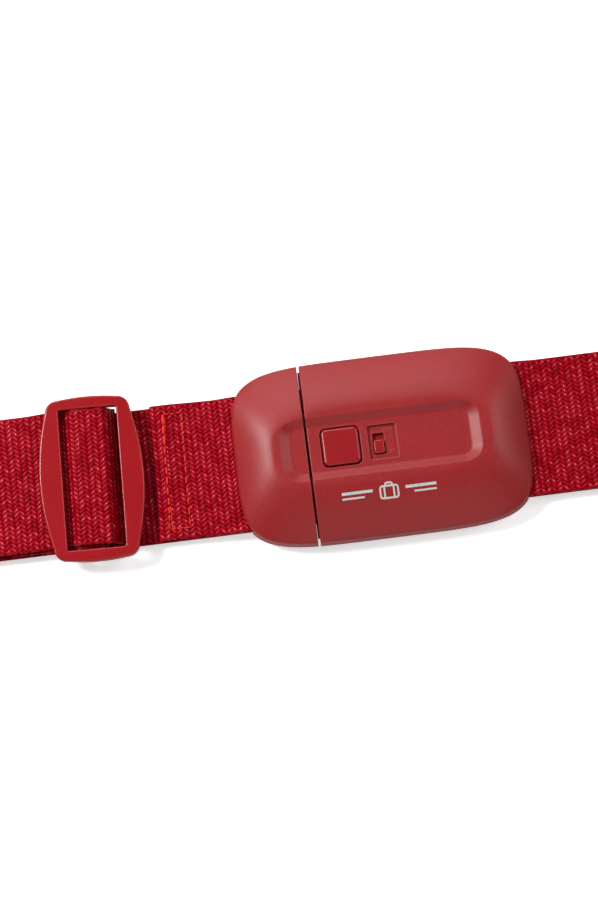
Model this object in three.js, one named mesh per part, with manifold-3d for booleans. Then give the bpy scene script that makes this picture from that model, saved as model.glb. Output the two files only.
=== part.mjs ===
// A 50 mm luggage strap: a flattened, closed loop of doubled webbing with a push-button safety
// buckle and a three-bar length adjuster. Millimetres, +Z up, +X along the strap from the buckle's
// tongue half to its housing half. The origin is on the resting plane, under the buckle's centre.
import * as THREE from "three";
import { mergeVertices } from "three/addons/utils/BufferGeometryUtils.js";
import Module from "manifold-3d";

const wasm = await Module();
wasm.setup();

// ---- Driving dimensions ----
const WEB_WIDTH = 50;
const WEB_THICK = 1.3;
const LAYER_GAP = 0.15; // air between two layers of webbing
const LOOP_HALF = 239.65; // half the length of the flattened loop
const FOLD_RADIUS = 7; // centreline radius of the outer layer at each end of the loop
const RUN_START = 200; // where the straight upper runs begin, from the centre
const LOWER_JOINT_X = -190; // where the housing's and the tongue half's webbing meet below
const JOINT_GAP = 0.3; // air between two lengths that meet end to end

const BUCKLE_HALF_LENGTH = 53.5; // at the rim, above the side wall
const BUCKLE_HALF_WIDTH = 33;
const BUCKLE_SQUARENESS = 4.8; // exponent of the outline's superellipse
const BUCKLE_BOTTOM = 3;
const BASE_THICK = 1.2;
const BASE_INSET = 0.2; // how far the base sits inside the cover's rim
const RIM_BOTTOM = 4.4; // lower edge of the covers' side wall
const RIM_TOP = 8.6;
const WALL_LEAN = 0.65; // how far the side wall's foot stands outside its rim
const CREST_HALF_LENGTH = 38.6;
const CREST_HALF_WIDTH = 13.2;
const CREST_HEIGHT = 17;
const CREST_SQUARENESS = 3.4;
const DOME_POWER = 1.42; // how fast the dome flattens towards its crest
const WALL = 1.6;
const CEILING = 13.8; // highest point of the space inside the covers

const SPLIT_X = -26.75; // plane between the tongue half and the housing half
const SPLIT_GAP = 0.8;
const END_WALL = 1.65;
const LAND_THICK = 0.66; // the raised land on the housing's end face, which nearly closes the gap
const LAND_HALF_WIDTH = 30.6;
const LAND_TOP = 7.5;

const RECESS_FLOOR = 15.4;
const RECESS_X = -0.4;
const RECESS_FOOT = [31.8, 8.6, 3.6]; // half length, half width and corner radius at the floor
const RECESS_RIM = [36.2, 11.3, 6.4]; // the same at the crest's height
const BUTTON_X = -14.8;
const BUTTON_SIZE = 13.4;
const BUTTON_GAP = 0.45;
const BUTTON_TOP = 16.5;
const LOCK_X = 0.3;
const LOCK_FLOOR = 14.2;
const LOCK_WELL_WIDTH = 10.6;
const LOCK_WELL_LENGTH = 12.6;
const LOCK_PAD_X = [-6.6, 7.2]; // the thicker place in the cover that the lock's well is sunk into
const LOCK_PAD_HALF_WIDTH = 8.6;
const LOCK_PLATE_BOTTOM = 11.5;
const LOCK_PLATE_TOP = 12.6;
const KNOB_X = -1.1;
const KNOB_Y = -1.7;
const KNOB_TOP = 15.3;

const BAR_X = 41; // the webbing bar's distance from the buckle's centre, in both halves
const BAR_Z = 6.8;
const BAR_WIDTH = 5;
const BAR_THICK = 2;
const SLOT_X = 51; // the throat of the slot in each end wall

const MOUTH_HALF_WIDTH = 16.6; // the housing's opening for the tongue
const PRONG_BOTTOM = 9.6;
const PRONG_TOP = 12;
const PRONG_INNER = 9;
const PRONG_OUTER = 15;
const PRONG_TIP_X = 6;
const CATCH_X = -10.4;
const CATCH_LENGTH = 5.4;

const LATCH_BOTTOM = 7.2;
const LATCH_THICK = 1.4;
const LATCH_HEAD_X = -21.5;
const LATCH_PEG_Y = 8; // the pegs on the housing's base that hold the latch's foot
const LATCH_FOOT_X = 24;

const HOUSING_SCREWS = [
  [-19, 24],
  [-19, -24],
  [28, 24],
  [28, -24],
];
const TONGUE_SCREWS = [
  [-32.6, 22],
  [-32.6, -22],
];
const SCREW_TOP = 10.6;
const BOSS_RADIUS = 2.7;
const BOSS_BOTTOM = 6.15;

const ADJUSTER_X = -105.25;
const ADJUSTER_Y = 0.9; // it has slipped a little to one side, and the webbing through it too
const ADJUSTER_BOTTOM = 7.6;
const ADJUSTER_TOP = 11.2;
const ADJUSTER_TWIST = THREE.MathUtils.degToRad(-2); // it lies a little askew on the webbing
const ADJUSTER_HALF_WIDTH = 19;
const ADJUSTER_HALF_LENGTH = 30.3;
const WINDOW_HALF_WIDTH = 10.6;
const WINDOW_HALF_LENGTH = 25.85;
const SIDE_BOW = 0.00575; // how fast the frame's long sides bow, in mm for each mm squared
const END_BOW = 0.8;
const CENTRE_BAR_Z = 7;
const CENTRE_BAR_WIDTH = 6;
const CENTRE_BAR_THICK = 2.2;
const SIDE_BAR_LAYER = 6.75; // the upper layer's height under the adjuster's left side bar
const TAIL_LENGTH = 34; // from the centre bar's middle to the sewn tail's end
const HUMP_CREST = 5; // half the length of the hump's level top
const HUMP_END = 9.5; // from the centre bar's middle to the hump's ends

const FLAP_END_X = -82.95; // cut end of the webbing that is sewn back over itself
const SEAM_X = -74.6;
const SEAM_LENGTH = 7;
const TAIL_SEAM_OFFSET = 25; // from the centre bar's middle to the middle of the tail's seam
const TAIL_SEAM_LENGTH = 10;
const SEAM_HALF_WIDTH = 21.4;
const THREAD = 0.6;

// ---- Dimensions worked out from them ----
const PITCH = WEB_THICK + LAYER_GAP;
const layer = (n) => WEB_THICK / 2 + n * PITCH; // height of a layer's middle, from the resting plane up
const BASE_TOP = BUCKLE_BOTTOM + BASE_THICK;
const LATCH_TOP = LATCH_BOTTOM + LATCH_THICK;
const SLOT_LOWER = BASE_TOP + LAYER_GAP + WEB_THICK / 2;
const SLOT_UPPER = SLOT_LOWER + PITCH;
const LOOP_RADIUS = BAR_THICK / 2 + LAYER_GAP + WEB_THICK / 2;
const BAR_LOOP_RADIUS = CENTRE_BAR_THICK / 2 + LAYER_GAP + WEB_THICK / 2;
const HUMP_HEIGHT = CENTRE_BAR_Z + BAR_LOOP_RADIUS + PITCH;
const LEAN = -Math.tan(ADJUSTER_TWIST);
const TONGUE_FACE = SPLIT_X - SPLIT_GAP / 2;
const HOUSING_FACE = SPLIT_X + SPLIT_GAP / 2;

// ---- Solids ----
function solid(geometry) {
  const bare = geometry.index ? geometry.toNonIndexed() : geometry.clone();
  bare.deleteAttribute("normal");
  bare.deleteAttribute("uv");
  const merged = mergeVertices(bare, 1e-4);
  return new wasm.Manifold(
    new wasm.Mesh({
      numProp: 3,
      vertProperties: new Float32Array(merged.attributes.position.array),
      triVerts: new Uint32Array(merged.index.array),
    }),
  );
}

function box(x0, x1, y0, y1, z0, z1) {
  const g = new THREE.BoxGeometry(x1 - x0, y1 - y0, z1 - z0);
  return solid(g.translate((x0 + x1) / 2, (y0 + y1) / 2, (z0 + z1) / 2));
}

function post(x, y, z0, z1, radius, sides = 20) {
  const g = new THREE.CylinderGeometry(radius, radius, z1 - z0, sides);
  return solid(g.rotateX(Math.PI / 2).translate(x, y, (z0 + z1) / 2));
}

function roundedRect(width, height, radius) {
  const [w, h] = [width / 2, height / 2];
  const s = new THREE.Shape();
  s.moveTo(-w + radius, -h);
  s.lineTo(w - radius, -h);
  s.absarc(w - radius, -h + radius, radius, -Math.PI / 2, 0);
  s.absarc(w - radius, h - radius, radius, 0, Math.PI / 2);
  s.absarc(-w + radius, h - radius, radius, Math.PI / 2, Math.PI);
  s.absarc(-w + radius, -h + radius, radius, Math.PI, 1.5 * Math.PI);
  return s;
}

// A shape drawn in X and Y, standing from z0 to z1.
function upright(shape, x, y, z0, z1, curveSegments = 5) {
  const g = new THREE.ExtrudeGeometry(shape, { depth: z1 - z0, bevelEnabled: false, curveSegments });
  return solid(g.translate(x, y, z0));
}

// A shape drawn in X and Z, running across the strap from -halfWidth to halfWidth.
// lean moves it along X by that much for each unit of Y.
function across(shape, halfWidth, lean = 0) {
  const options = { depth: 2 * halfWidth, bevelEnabled: false, curveSegments: 6 };
  const g = new THREE.ExtrudeGeometry(shape, options);
  g.rotateX(Math.PI / 2).translate(0, halfWidth, 0);
  return solid(g.applyMatrix4(new THREE.Matrix4().makeShear(0, 0, lean, 0, 0, 0)));
}

// A closed body through a stack of rings, each with the same number of points.
function loft(rings) {
  const count = rings[0].length;
  const centre = (ring) => ring.reduce((sum, p) => sum.add(p), new THREE.Vector3()).divideScalar(count);
  const points = rings.flat();
  points.push(centre(rings[0]), centre(rings.at(-1)));
  const [low, high] = [points.length - 2, points.length - 1];
  const index = [];
  for (let i = 0; i < count; i++) {
    const j = (i + 1) % count;
    for (let r = 0; r < rings.length - 1; r++) {
      const [a, b] = [r * count + i, r * count + j];
      index.push(a, b, b + count, a, b + count, a + count);
    }
    const top = (rings.length - 1) * count;
    index.push(low, j, i, high, top + i, top + j);
  }
  const g = new THREE.BufferGeometry().setFromPoints(points);
  return solid(g.setIndex(index));
}

function superellipse(a, b, n, z, count) {
  return Array.from({ length: count }, (_, i) => {
    const angle = (2 * Math.PI * i) / count;
    const [c, s] = [Math.cos(angle), Math.sin(angle)];
    const r = (Math.abs(c) ** n + Math.abs(s) ** n) ** (-1 / n);
    return new THREE.Vector3(a * r * c, b * r * s, z);
  });
}

// ---- Webbing ----
const smooth = (t) => t * t * (3 - 2 * t);

// The centreline's points in X and Z for a run that eases from one height to another.
function ease(x0, z0, x1, z1, steps = 8) {
  return Array.from({ length: steps + 1 }, (_, i) => {
    const t = i / steps;
    return new THREE.Vector2(x0 + (x1 - x0) * t, z0 + (z1 - z0) * smooth(t));
  });
}

// The centreline's points on an arc about (x, z), between two angles in degrees.
function arc(x, z, radius, from, to, steps = 10) {
  return Array.from({ length: steps + 1 }, (_, i) => {
    const angle = THREE.MathUtils.degToRad(from + ((to - from) * i) / steps);
    return new THREE.Vector2(x + radius * Math.cos(angle), z + radius * Math.sin(angle));
  });
}

// A ribbon of webbing whose centreline runs through the points.
function ribbon(points, lean = 0) {
  const line = points.filter((p, i) => i === 0 || p.distanceTo(points[i - 1]) > 1e-3);
  const side = (sign) =>
    line.map((p, i) => {
      const before = line[Math.max(i - 1, 0)];
      const after = line[Math.min(i + 1, line.length - 1)];
      const a = p.clone().sub(before).normalize();
      const b = after.clone().sub(p).normalize();
      const along = a.clone().add(b).normalize();
      const leg = i === 0 ? b : a;
      const stretch = 1 / Math.max(along.dot(leg), 0.5);
      const normal = new THREE.Vector2(-along.y, along.x);
      return p.clone().addScaledVector(normal, (sign * stretch * WEB_THICK) / 2);
    });
  return across(new THREE.Shape([...side(1), ...side(-1).reverse()]), WEB_WIDTH / 2, lean);
}

// One end of the loop, from the run below, round the end and down to the run above.
// n is 0 for the outer layer and 1 for the inner one; sign is -1 at the left end.
function fold(sign, n, fromX, toX) {
  const centreX = LOOP_HALF - WEB_THICK / 2 - FOLD_RADIUS;
  const centreZ = layer(0) + FOLD_RADIUS;
  const radius = FOLD_RADIUS - n * PITCH;
  const points = [
    new THREE.Vector2(fromX, layer(n)),
    ...arc(centreX, centreZ, radius, -90, 90, 12),
    ...ease(centreX, centreZ + radius, toX, layer(3 - n), 8),
  ];
  return points.map((p) => new THREE.Vector2(sign * p.x, p.y));
}

// Webbing round a buckle half's bar, drawn for the right-hand half: in above, round, out below.
function barWrap() {
  const farSide = BAR_X + BAR_WIDTH / 2;
  const turnX = BAR_X - BAR_WIDTH / 2 + BAR_THICK / 2;
  return [
    ...ease(SLOT_X + 9, layer(3), SLOT_X + 1, SLOT_UPPER, 5),
    ...ease(SLOT_X, SLOT_UPPER, farSide, BAR_Z + LOOP_RADIUS, 4),
    ...arc(turnX, BAR_Z, LOOP_RADIUS, 90, 270, 10),
    ...ease(farSide, BAR_Z - LOOP_RADIUS, SLOT_X, SLOT_LOWER, 3),
    ...ease(SLOT_X + 1, SLOT_LOWER, SLOT_X + 9, layer(2), 5),
  ];
}

// The loop's lower run and right end, both layers, with the turn round the housing's bar.
const webbingHousingRun = () =>
  ribbon([
    ...fold(1, 0, LOWER_JOINT_X, RUN_START),
    ...barWrap(),
    ...fold(1, 1, LOWER_JOINT_X, RUN_START).reverse(),
  ]);

// From the sewn-back end, round the tongue half's bar, along the top and round the left end inside.
const webbingTongueRun = () =>
  ribbon([
    new THREE.Vector2(FLAP_END_X, layer(3)),
    ...barWrap().map((p) => new THREE.Vector2(-p.x, p.y)),
    ...fold(-1, 1, -LOWER_JOINT_X + JOINT_GAP, RUN_START).reverse(),
  ]);

const webbingLeftFold = () => ribbon(fold(-1, 0, -LOWER_JOINT_X + JOINT_GAP, RUN_START));

// The upper layer from the adjuster to the left end. It shortens as the adjuster slides left.
const webbingUpperRun = () =>
  ribbon([
    ...ease(ADJUSTER_X - HUMP_END - 2, SIDE_BAR_LAYER, ADJUSTER_X - TAIL_LENGTH, SIDE_BAR_LAYER, 1),
    ...ease(ADJUSTER_X - TAIL_LENGTH, SIDE_BAR_LAYER, ADJUSTER_X - TAIL_LENGTH - 12, layer(3), 6),
    new THREE.Vector2(-RUN_START + JOINT_GAP, layer(3)),
  ]);

// The upper layer where it climbs over the adjuster's centre bar.
const webbingOverBar = () =>
  ribbon(
    [
      ...ease(ADJUSTER_X - HUMP_END, SIDE_BAR_LAYER, ADJUSTER_X - HUMP_CREST, HUMP_HEIGHT, 8),
      ...ease(ADJUSTER_X + HUMP_CREST, HUMP_HEIGHT, ADJUSTER_X + HUMP_END, layer(3), 8),
    ],
    LEAN,
  ).translate([0, ADJUSTER_Y, 0]);

// The webbing's other end: round the centre bar from below, and back to lie on the run below it.
function webbingBarLoop() {
  const back = ADJUSTER_X - CENTRE_BAR_WIDTH / 2;
  const turnX = ADJUSTER_X + CENTRE_BAR_WIDTH / 2 - CENTRE_BAR_THICK / 2;
  return ribbon(
    [
      new THREE.Vector2(back - 1, CENTRE_BAR_Z - BAR_LOOP_RADIUS),
      ...arc(turnX, CENTRE_BAR_Z, BAR_LOOP_RADIUS, -90, 90, 10),
      ...ease(back, CENTRE_BAR_Z + BAR_LOOP_RADIUS, back - 7, layer(3), 7),
      new THREE.Vector2(ADJUSTER_X - TAIL_LENGTH + 2, layer(3)),
    ],
    LEAN,
  ).translate([0, ADJUSTER_Y, 0]);
}

// A box seam's thread, lying on the layer whose top is at z.
function seam(x, length, halfWidth, z) {
  const outer = box(x - length / 2, x + length / 2, -halfWidth, halfWidth, z, z + THREAD / 2);
  const [l, w] = [length / 2 - THREAD, halfWidth - THREAD];
  return outer.subtract(box(x - l, x + l, -w, w, z - 1, z + 1));
}

// ---- Buckle shells ----
// The covers' outer form, or the space inside it when inset is the wall's thickness.
function dome(inset) {
  const ring = (a, b, n, z) => superellipse(a - inset, b - inset, n, z, inset ? 56 : 72);
  const rise = CREST_HEIGHT - RIM_TOP;
  const last = inset ? 1 - (1 - (CEILING + inset - RIM_TOP) / rise) ** (1 / DOME_POWER) : 1;
  const [first, steps] = [0.03, 9];
  const rings = [
    ring(
      BUCKLE_HALF_LENGTH + WALL_LEAN,
      BUCKLE_HALF_WIDTH + WALL_LEAN,
      BUCKLE_SQUARENESS,
      RIM_BOTTOM - (inset ? 1 : 0),
    ),
    ring(BUCKLE_HALF_LENGTH, BUCKLE_HALF_WIDTH, BUCKLE_SQUARENESS, RIM_TOP - inset / 2),
  ];
  for (let i = 0; i <= steps; i++) {
    const s = first + ((last - first) * i) / steps;
    const mix = (from, to) => from + (to - from) * s;
    const z = RIM_TOP + rise * (1 - (1 - s) ** DOME_POWER) - inset;
    rings.push(
      ring(
        mix(BUCKLE_HALF_LENGTH, CREST_HALF_LENGTH),
        mix(BUCKLE_HALF_WIDTH, CREST_HALF_WIDTH),
        mix(BUCKLE_SQUARENESS, CREST_SQUARENESS),
        z,
      ),
    );
  }
  return loft(rings);
}

// The long shallow recess that runs across both halves, with sloping sides.
function recess() {
  const rise = 1.25; // how far above the floor the cutter's top is, in depths of the recess
  const rim = RECESS_RIM.map((size, i) => RECESS_FOOT[i] + (size - RECESS_FOOT[i]) * rise);
  const ring = ([halfLength, halfWidth, radius], z) =>
    roundedRect(2 * halfLength, 2 * halfWidth, radius)
      .getPoints(6)
      .slice(0, -1)
      .map((p) => new THREE.Vector3(p.x, p.y, z));
  const top = RECESS_FLOOR + rise * (CREST_HEIGHT - RECESS_FLOOR);
  return loft([ring(RECESS_FOOT, RECESS_FLOOR), ring(rim, top)]).translate([RECESS_X, 0, 0]);
}

const halfSpace = (x0, x1) => box(x0, x1, -60, 60, -5, 40);
const tongueSide = halfSpace(-80, TONGUE_FACE);
const housingSide = halfSpace(HOUSING_FACE, 80);

const covers = dome(0).subtract(recess());
const inside = dome(WALL);

// The space for the webbing round a half's bar, and the slot in the end wall where it comes out.
function webbingSpace(sign) {
  const gap = LAYER_GAP + WEB_THICK / 2 + 0.1;
  const farSide = BAR_X + BAR_WIDTH / 2;
  const outline = [
    [BUCKLE_HALF_LENGTH + 3, 0],
    [BUCKLE_HALF_LENGTH + 3, SLOT_UPPER + gap],
    [SLOT_X, SLOT_UPPER + gap],
    [SLOT_X - 1.5, SLOT_UPPER + gap + 0.5],
    [farSide + 1.5, BAR_Z + LOOP_RADIUS + gap - 0.2],
    [farSide, BAR_Z + LOOP_RADIUS + gap],
    [farSide - 7, BAR_Z + LOOP_RADIUS + gap],
    [farSide - 7, 0],
  ];
  return across(new THREE.Shape(outline.map(([x, z]) => new THREE.Vector2(sign * x, z))), WEB_WIDTH / 2 + 0.6);
}

function screwBosses(cover, screws) {
  const pilot = 1.25;
  for (const [x, y] of screws) {
    const boss = post(x, y, BOSS_BOTTOM, CREST_HEIGHT, BOSS_RADIUS).intersect(covers);
    cover = cover.add(boss).subtract(post(x, y, BOSS_BOTTOM - 1, SCREW_TOP + 0.6, pilot, 12));
  }
  return cover;
}

function tongueCover() {
  const wallX = TONGUE_FACE - END_WALL;
  const hollow = inside.intersect(halfSpace(-80, wallX));
  const neckHalfWidth = MOUTH_HALF_WIDTH + 0.7;
  const neck = box(wallX - 1, SPLIT_X, -neckHalfWidth, neckHalfWidth, 0, PRONG_TOP + 0.6);
  const shell = covers.intersect(tongueSide).subtract(hollow).subtract(neck);
  return screwBosses(shell.subtract(webbingSpace(-1)), TONGUE_SCREWS);
}

function housingCover() {
  const wallX = HOUSING_FACE + END_WALL;
  const hollow = inside.intersect(halfSpace(wallX, 80));
  const mouth = box(SPLIT_X, wallX + 1, -MOUTH_HALF_WIDTH, MOUTH_HALF_WIDTH, 0, PRONG_TOP + 0.5);
  const opening = BUTTON_SIZE + 2 * BUTTON_GAP;
  const lockPad = box(...LOCK_PAD_X, -LOCK_PAD_HALF_WIDTH, LOCK_PAD_HALF_WIDTH, LOCK_FLOOR - 1.4, CEILING + 0.5);
  const shell = covers
    .intersect(housingSide)
    .subtract(hollow)
    .subtract(mouth)
    .add(lockPad)
    .add(land(1))
    .add(land(-1))
    .subtract(upright(roundedRect(opening, opening, 2.1), BUTTON_X, 0, 10, 20))
    .subtract(upright(roundedRect(LOCK_WELL_WIDTH, LOCK_WELL_LENGTH, 0.6), LOCK_X, 0, LOCK_FLOOR, 20, 2))
    .subtract(box(KNOB_X - 2.1, KNOB_X + 2.1, -4.4, 3.4, 10, 20));
  return screwBosses(shell.add(lockRails()).subtract(webbingSpace(1)), HOUSING_SCREWS);
}

// The raised land beside the mouth on the housing's end face. side is 1 or -1 along Y.
function land(side) {
  const [y0, y1] = [side * MOUTH_HALF_WIDTH, side * LAND_HALF_WIDTH].sort((a, b) => a - b);
  return box(HOUSING_FACE - LAND_THICK, HOUSING_FACE + 0.5, y0, y1, RIM_BOTTOM, LAND_TOP);
}

// Two L-shaped rails under the cover that carry the lock slide.
function lockRails() {
  const [thick, lip, foot, clearance] = [0.8, 1, 0.7, 0.2];
  const [low, top] = [LOCK_PLATE_BOTTOM - foot - clearance, LOCK_FLOOR - 1.3];
  const [left, right] = [LOCK_PAD_X[0], LOCK_PAD_X[1] - 0.6];
  const along = (x0, x1, z1) => box(x0, x1, -LOCK_PAD_HALF_WIDTH, LOCK_PAD_HALF_WIDTH, low, z1);
  return along(left, left + thick, top)
    .add(along(left, left + thick + lip, low + foot))
    .add(along(right - thick, right, top))
    .add(along(right - thick - lip, right, low + foot));
}

// A base plate with the bar that its webbing goes round. sign is -1 for the tongue half.
function basePlate(sign) {
  const ring = (z, inset) =>
    superellipse(BUCKLE_HALF_LENGTH - inset, BUCKLE_HALF_WIDTH - inset, BUCKLE_SQUARENESS, z, 112);
  const plate = loft([
    ring(BUCKLE_BOTTOM, BASE_INSET + 0.8),
    ring(BUCKLE_BOTTOM + 0.5, BASE_INSET + 0.15),
    ring(BASE_TOP, BASE_INSET),
  ]);
  const bar = across(roundedRect(BAR_WIDTH, BAR_THICK, 1), WEB_WIDTH / 2 + 1).translate([sign * BAR_X, 0, BAR_Z]);
  const half = plate.intersect(sign < 0 ? tongueSide : housingSide).add(bar);
  const [near, far] = [WEB_WIDTH / 2 + 0.5, WEB_WIDTH / 2 + 2];
  const [x0, x1] = [sign * BAR_X - 2, sign * BAR_X + 2];
  const ends = box(x0, x1, near, far, BASE_TOP - 0.2, BAR_Z).add(box(x0, x1, -far, -near, BASE_TOP - 0.2, BAR_Z));
  return half.add(ends);
}

function countersunk(base, screws) {
  for (const [x, y] of screws) {
    base = base
      .add(post(x, y, BUCKLE_BOTTOM + 0.6, BOSS_BOTTOM - 0.15, 3.4))
      .subtract(post(x, y, 0, BUCKLE_BOTTOM + 1.65, 2.3))
      .subtract(post(x, y, 0, 8, 1.35, 12));
  }
  return base;
}

// The tongue half's base, with the two-pronged tongue that the latch holds.
function tongueBase() {
  const rootX = TONGUE_FACE - END_WALL;
  const halfWidth = MOUTH_HALF_WIDTH + 0.4;
  let base = basePlate(-1).add(
    box(rootX, TONGUE_FACE, -halfWidth, halfWidth, BUCKLE_BOTTOM + 0.2, PRONG_TOP + 0.3),
  );
  for (const sign of [-1, 1]) {
    base = base.add(prong(sign, rootX)).add(gusset((sign * (PRONG_INNER + PRONG_OUTER)) / 2, rootX));
  }
  return countersunk(base, TONGUE_SCREWS);
}

function prong(sign, rootX) {
  const width = PRONG_OUTER - PRONG_INNER;
  const y = (sign * (PRONG_INNER + PRONG_OUTER)) / 2;
  const length = PRONG_TIP_X - rootX;
  const blade = upright(roundedRect(length, width, 1.8), rootX + length / 2, y, PRONG_BOTTOM, PRONG_TOP);
  const root = box(rootX, rootX + 3, y - width / 2, y + width / 2, PRONG_BOTTOM, PRONG_TOP);
  const half = CATCH_LENGTH / 2;
  return blade.add(root).subtract(box(CATCH_X - half, CATCH_X + half, y - 1.9, y + 1.9, 0, 20));
}

// A triangular rib that stiffens the tongue's root.
function gusset(y, rootX) {
  const [reach, sunk, halfThick] = [6, 0.2, 0.8];
  const s = new THREE.Shape();
  s.moveTo(rootX + 0.3, BASE_TOP - sunk);
  s.lineTo(rootX + 0.3, PRONG_TOP - 1);
  s.lineTo(rootX - reach, BASE_TOP - sunk);
  return across(s, halfThick).translate([0, y, 0]);
}

function housingBase() {
  const low = BASE_TOP - 0.2;
  const halfWidth = MOUTH_HALF_WIDTH - 0.4;
  const [guideStart, guideEnd] = [HOUSING_FACE + END_WALL + 0.4, PRONG_TIP_X + 2];
  const [springPegTop, springPegRadius] = [9.5, 1.6];
  let base = basePlate(1)
    .add(box(HOUSING_FACE, HOUSING_FACE + END_WALL, -halfWidth, halfWidth, BUCKLE_BOTTOM + 0.2, PRONG_BOTTOM - 0.3))
    .add(box(LATCH_FOOT_X - 4, LATCH_FOOT_X + 4, -12, 12, low, LATCH_BOTTOM - 0.15))
    .add(post(BUTTON_X, 0, low, springPegTop, springPegRadius, 16));
  for (const sign of [-1, 1]) {
    const [y0, y1] = [PRONG_OUTER + 0.6, PRONG_OUTER + 1.7].map((y) => sign * y).sort((a, b) => a - b);
    base = base
      .add(box(guideStart, guideEnd, y0, y1, low, PRONG_TOP))
      .add(post(LATCH_FOOT_X, sign * LATCH_PEG_Y, low, LATCH_TOP + 0.7, 1.2, 12));
  }
  return countersunk(base, HOUSING_SCREWS);
}

// ---- Mechanism ----
function releaseButton() {
  const [edge, wall, rim, flangeThick] = [1, 1.3, 12.3, 1.1];
  const ring = (size, radius, z) =>
    roundedRect(size, size, radius)
      .getPoints(5)
      .slice(0, -1)
      .map((p) => new THREE.Vector3(p.x + BUTTON_X, p.y, z));
  const cap = loft([
    ring(BUTTON_SIZE, 1.7, rim),
    ring(BUTTON_SIZE, 1.7, BUTTON_TOP - edge),
    ring(BUTTON_SIZE - 0.7 * edge, 1.6, BUTTON_TOP - 0.25 * edge),
    ring(BUTTON_SIZE - 2 * edge, 1.2, BUTTON_TOP),
  ]);
  const hollow = BUTTON_SIZE / 2 - wall;
  const flange = BUTTON_SIZE / 2 + 1.1;
  let button = cap
    .add(box(BUTTON_X - flange, BUTTON_X + flange, -flange, flange, rim, rim + flangeThick))
    .subtract(box(BUTTON_X - hollow, BUTTON_X + hollow, -hollow, hollow, 0, BUTTON_TOP - 1.6));
  const [inner, outer] = [4.4, BUTTON_SIZE / 2]; // the four legs' nearest and farthest sides
  const legBottom = LATCH_TOP + 0.15;
  for (const sx of [-1, 1]) {
    for (const sy of [-1, 1]) {
      const [x0, x1] = [BUTTON_X + sx * inner, BUTTON_X + sx * outer].sort((a, b) => a - b);
      const [y0, y1] = [sy * inner, sy * outer].sort((a, b) => a - b);
      button = button.add(box(x0, x1, y0, y1, legBottom, rim + 0.3));
    }
  }
  return button;
}

// A coil spring as one closed tube along a helix.
class Helix extends THREE.Curve {
  constructor(radius, height, turns) {
    super();
    Object.assign(this, { radius, height, turns });
  }

  getPoint(t, target = new THREE.Vector3()) {
    const angle = 2 * Math.PI * this.turns * t;
    return target.set(this.radius * Math.cos(angle), this.radius * Math.sin(angle), this.height * t);
  }
}

function buttonSpring() {
  const [wire, turns] = [0.6, 6];
  const [low, high] = [BASE_TOP + 0.1, BUTTON_TOP - 1.7];
  const section = new THREE.Shape().absarc(0, 0, wire / 2, 0, 2 * Math.PI);
  const path = new Helix(2.7, high - low - wire, turns);
  const options = { steps: 14 * turns, extrudePath: path, curveSegments: 3, bevelEnabled: false };
  const g = new THREE.ExtrudeGeometry(section, options);
  return solid(g.translate(BUTTON_X, 0, low + wire / 2));
}

// The sprung latch: a foot fixed to the base, two flexible arms, and a head with two catches.
function latchArm() {
  const [headEnd, headHalfWidth, footHalfLength, footHalfWidth, springHole] = [-5.5, 14.6, 3.6, 12, 3.9];
  const plate = (x0, x1, y0, y1) => box(x0, x1, y0, y1, LATCH_BOTTOM, LATCH_TOP);
  let latch = plate(LATCH_HEAD_X, headEnd, -headHalfWidth, headHalfWidth)
    .add(plate(LATCH_FOOT_X - footHalfLength, LATCH_FOOT_X + footHalfLength, -footHalfWidth, footHalfWidth))
    .subtract(post(BUTTON_X, 0, 0, 20, springHole));
  for (const sign of [-1, 1]) {
    const [y0, y1] = [sign * 6, sign * 11].sort((a, b) => a - b);
    latch = latch
      .add(plate(headEnd - 0.5, LATCH_FOOT_X, y0, y1))
      .subtract(post(LATCH_FOOT_X, sign * LATCH_PEG_Y, 0, 20, 1.5, 12))
      .add(catchTooth().translate([0, sign * 12, 0]));
  }
  return latch;
}

// A catch: its left side is a ramp, and its right side holds the prong.
function catchTooth() {
  const half = CATCH_LENGTH / 2 - 0.35;
  const foot = LATCH_TOP - 0.2;
  const tip = PRONG_TOP - 0.7;
  const s = new THREE.Shape();
  s.moveTo(CATCH_X - half, foot);
  s.lineTo(CATCH_X + half, foot);
  s.lineTo(CATCH_X + half, tip);
  s.lineTo(CATCH_X + half - 1, tip);
  s.lineTo(CATCH_X - half, foot + 1.2);
  return across(s, 1.5);
}

// The lock: a plate under the cover with a knob that comes up through the slot.
function lockSlide() {
  const plate = box(-5.4, 5.4, -8, 5.4, LOCK_PLATE_BOTTOM, LOCK_PLATE_TOP);
  const relief = box(2.2, 3.2, -6.5, 4, 0, 20); // frees a thin side arm that clicks into place
  const knob = upright(roundedRect(3.6, 4.8, 0.4), KNOB_X, KNOB_Y, LOCK_PLATE_TOP - 0.1, KNOB_TOP, 2);
  return plate.subtract(relief).add(knob);
}

function screw(x, y, head = BUCKLE_BOTTOM + 0.15) {
  const [headRadius, headHeight, shank] = [2.05, 1.35, 1.1];
  const cross = box(-1.3, 1.3, -0.28, 0.28, -1, 0.7).add(box(-0.28, 0.28, -1.3, 1.3, -1, 0.7));
  const profile = [
    [0, 0],
    [headRadius - 0.3, 0],
    [headRadius, 0.3],
    [headRadius, headHeight],
    [shank, headHeight],
    [shank, SCREW_TOP - head - 1],
    [0, SCREW_TOP - head],
  ].map(([r, z]) => new THREE.Vector2(r, z));
  const turned = new THREE.LatheGeometry(profile, 16).rotateX(Math.PI / 2);
  return solid(turned).subtract(cross).translate([x, y, head]);
}

// ---- Adjuster ----
// Half the frame's width at y: its long sides bow outwards.
const sideBow = (y) => ADJUSTER_HALF_WIDTH - SIDE_BOW * y * y;

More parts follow.
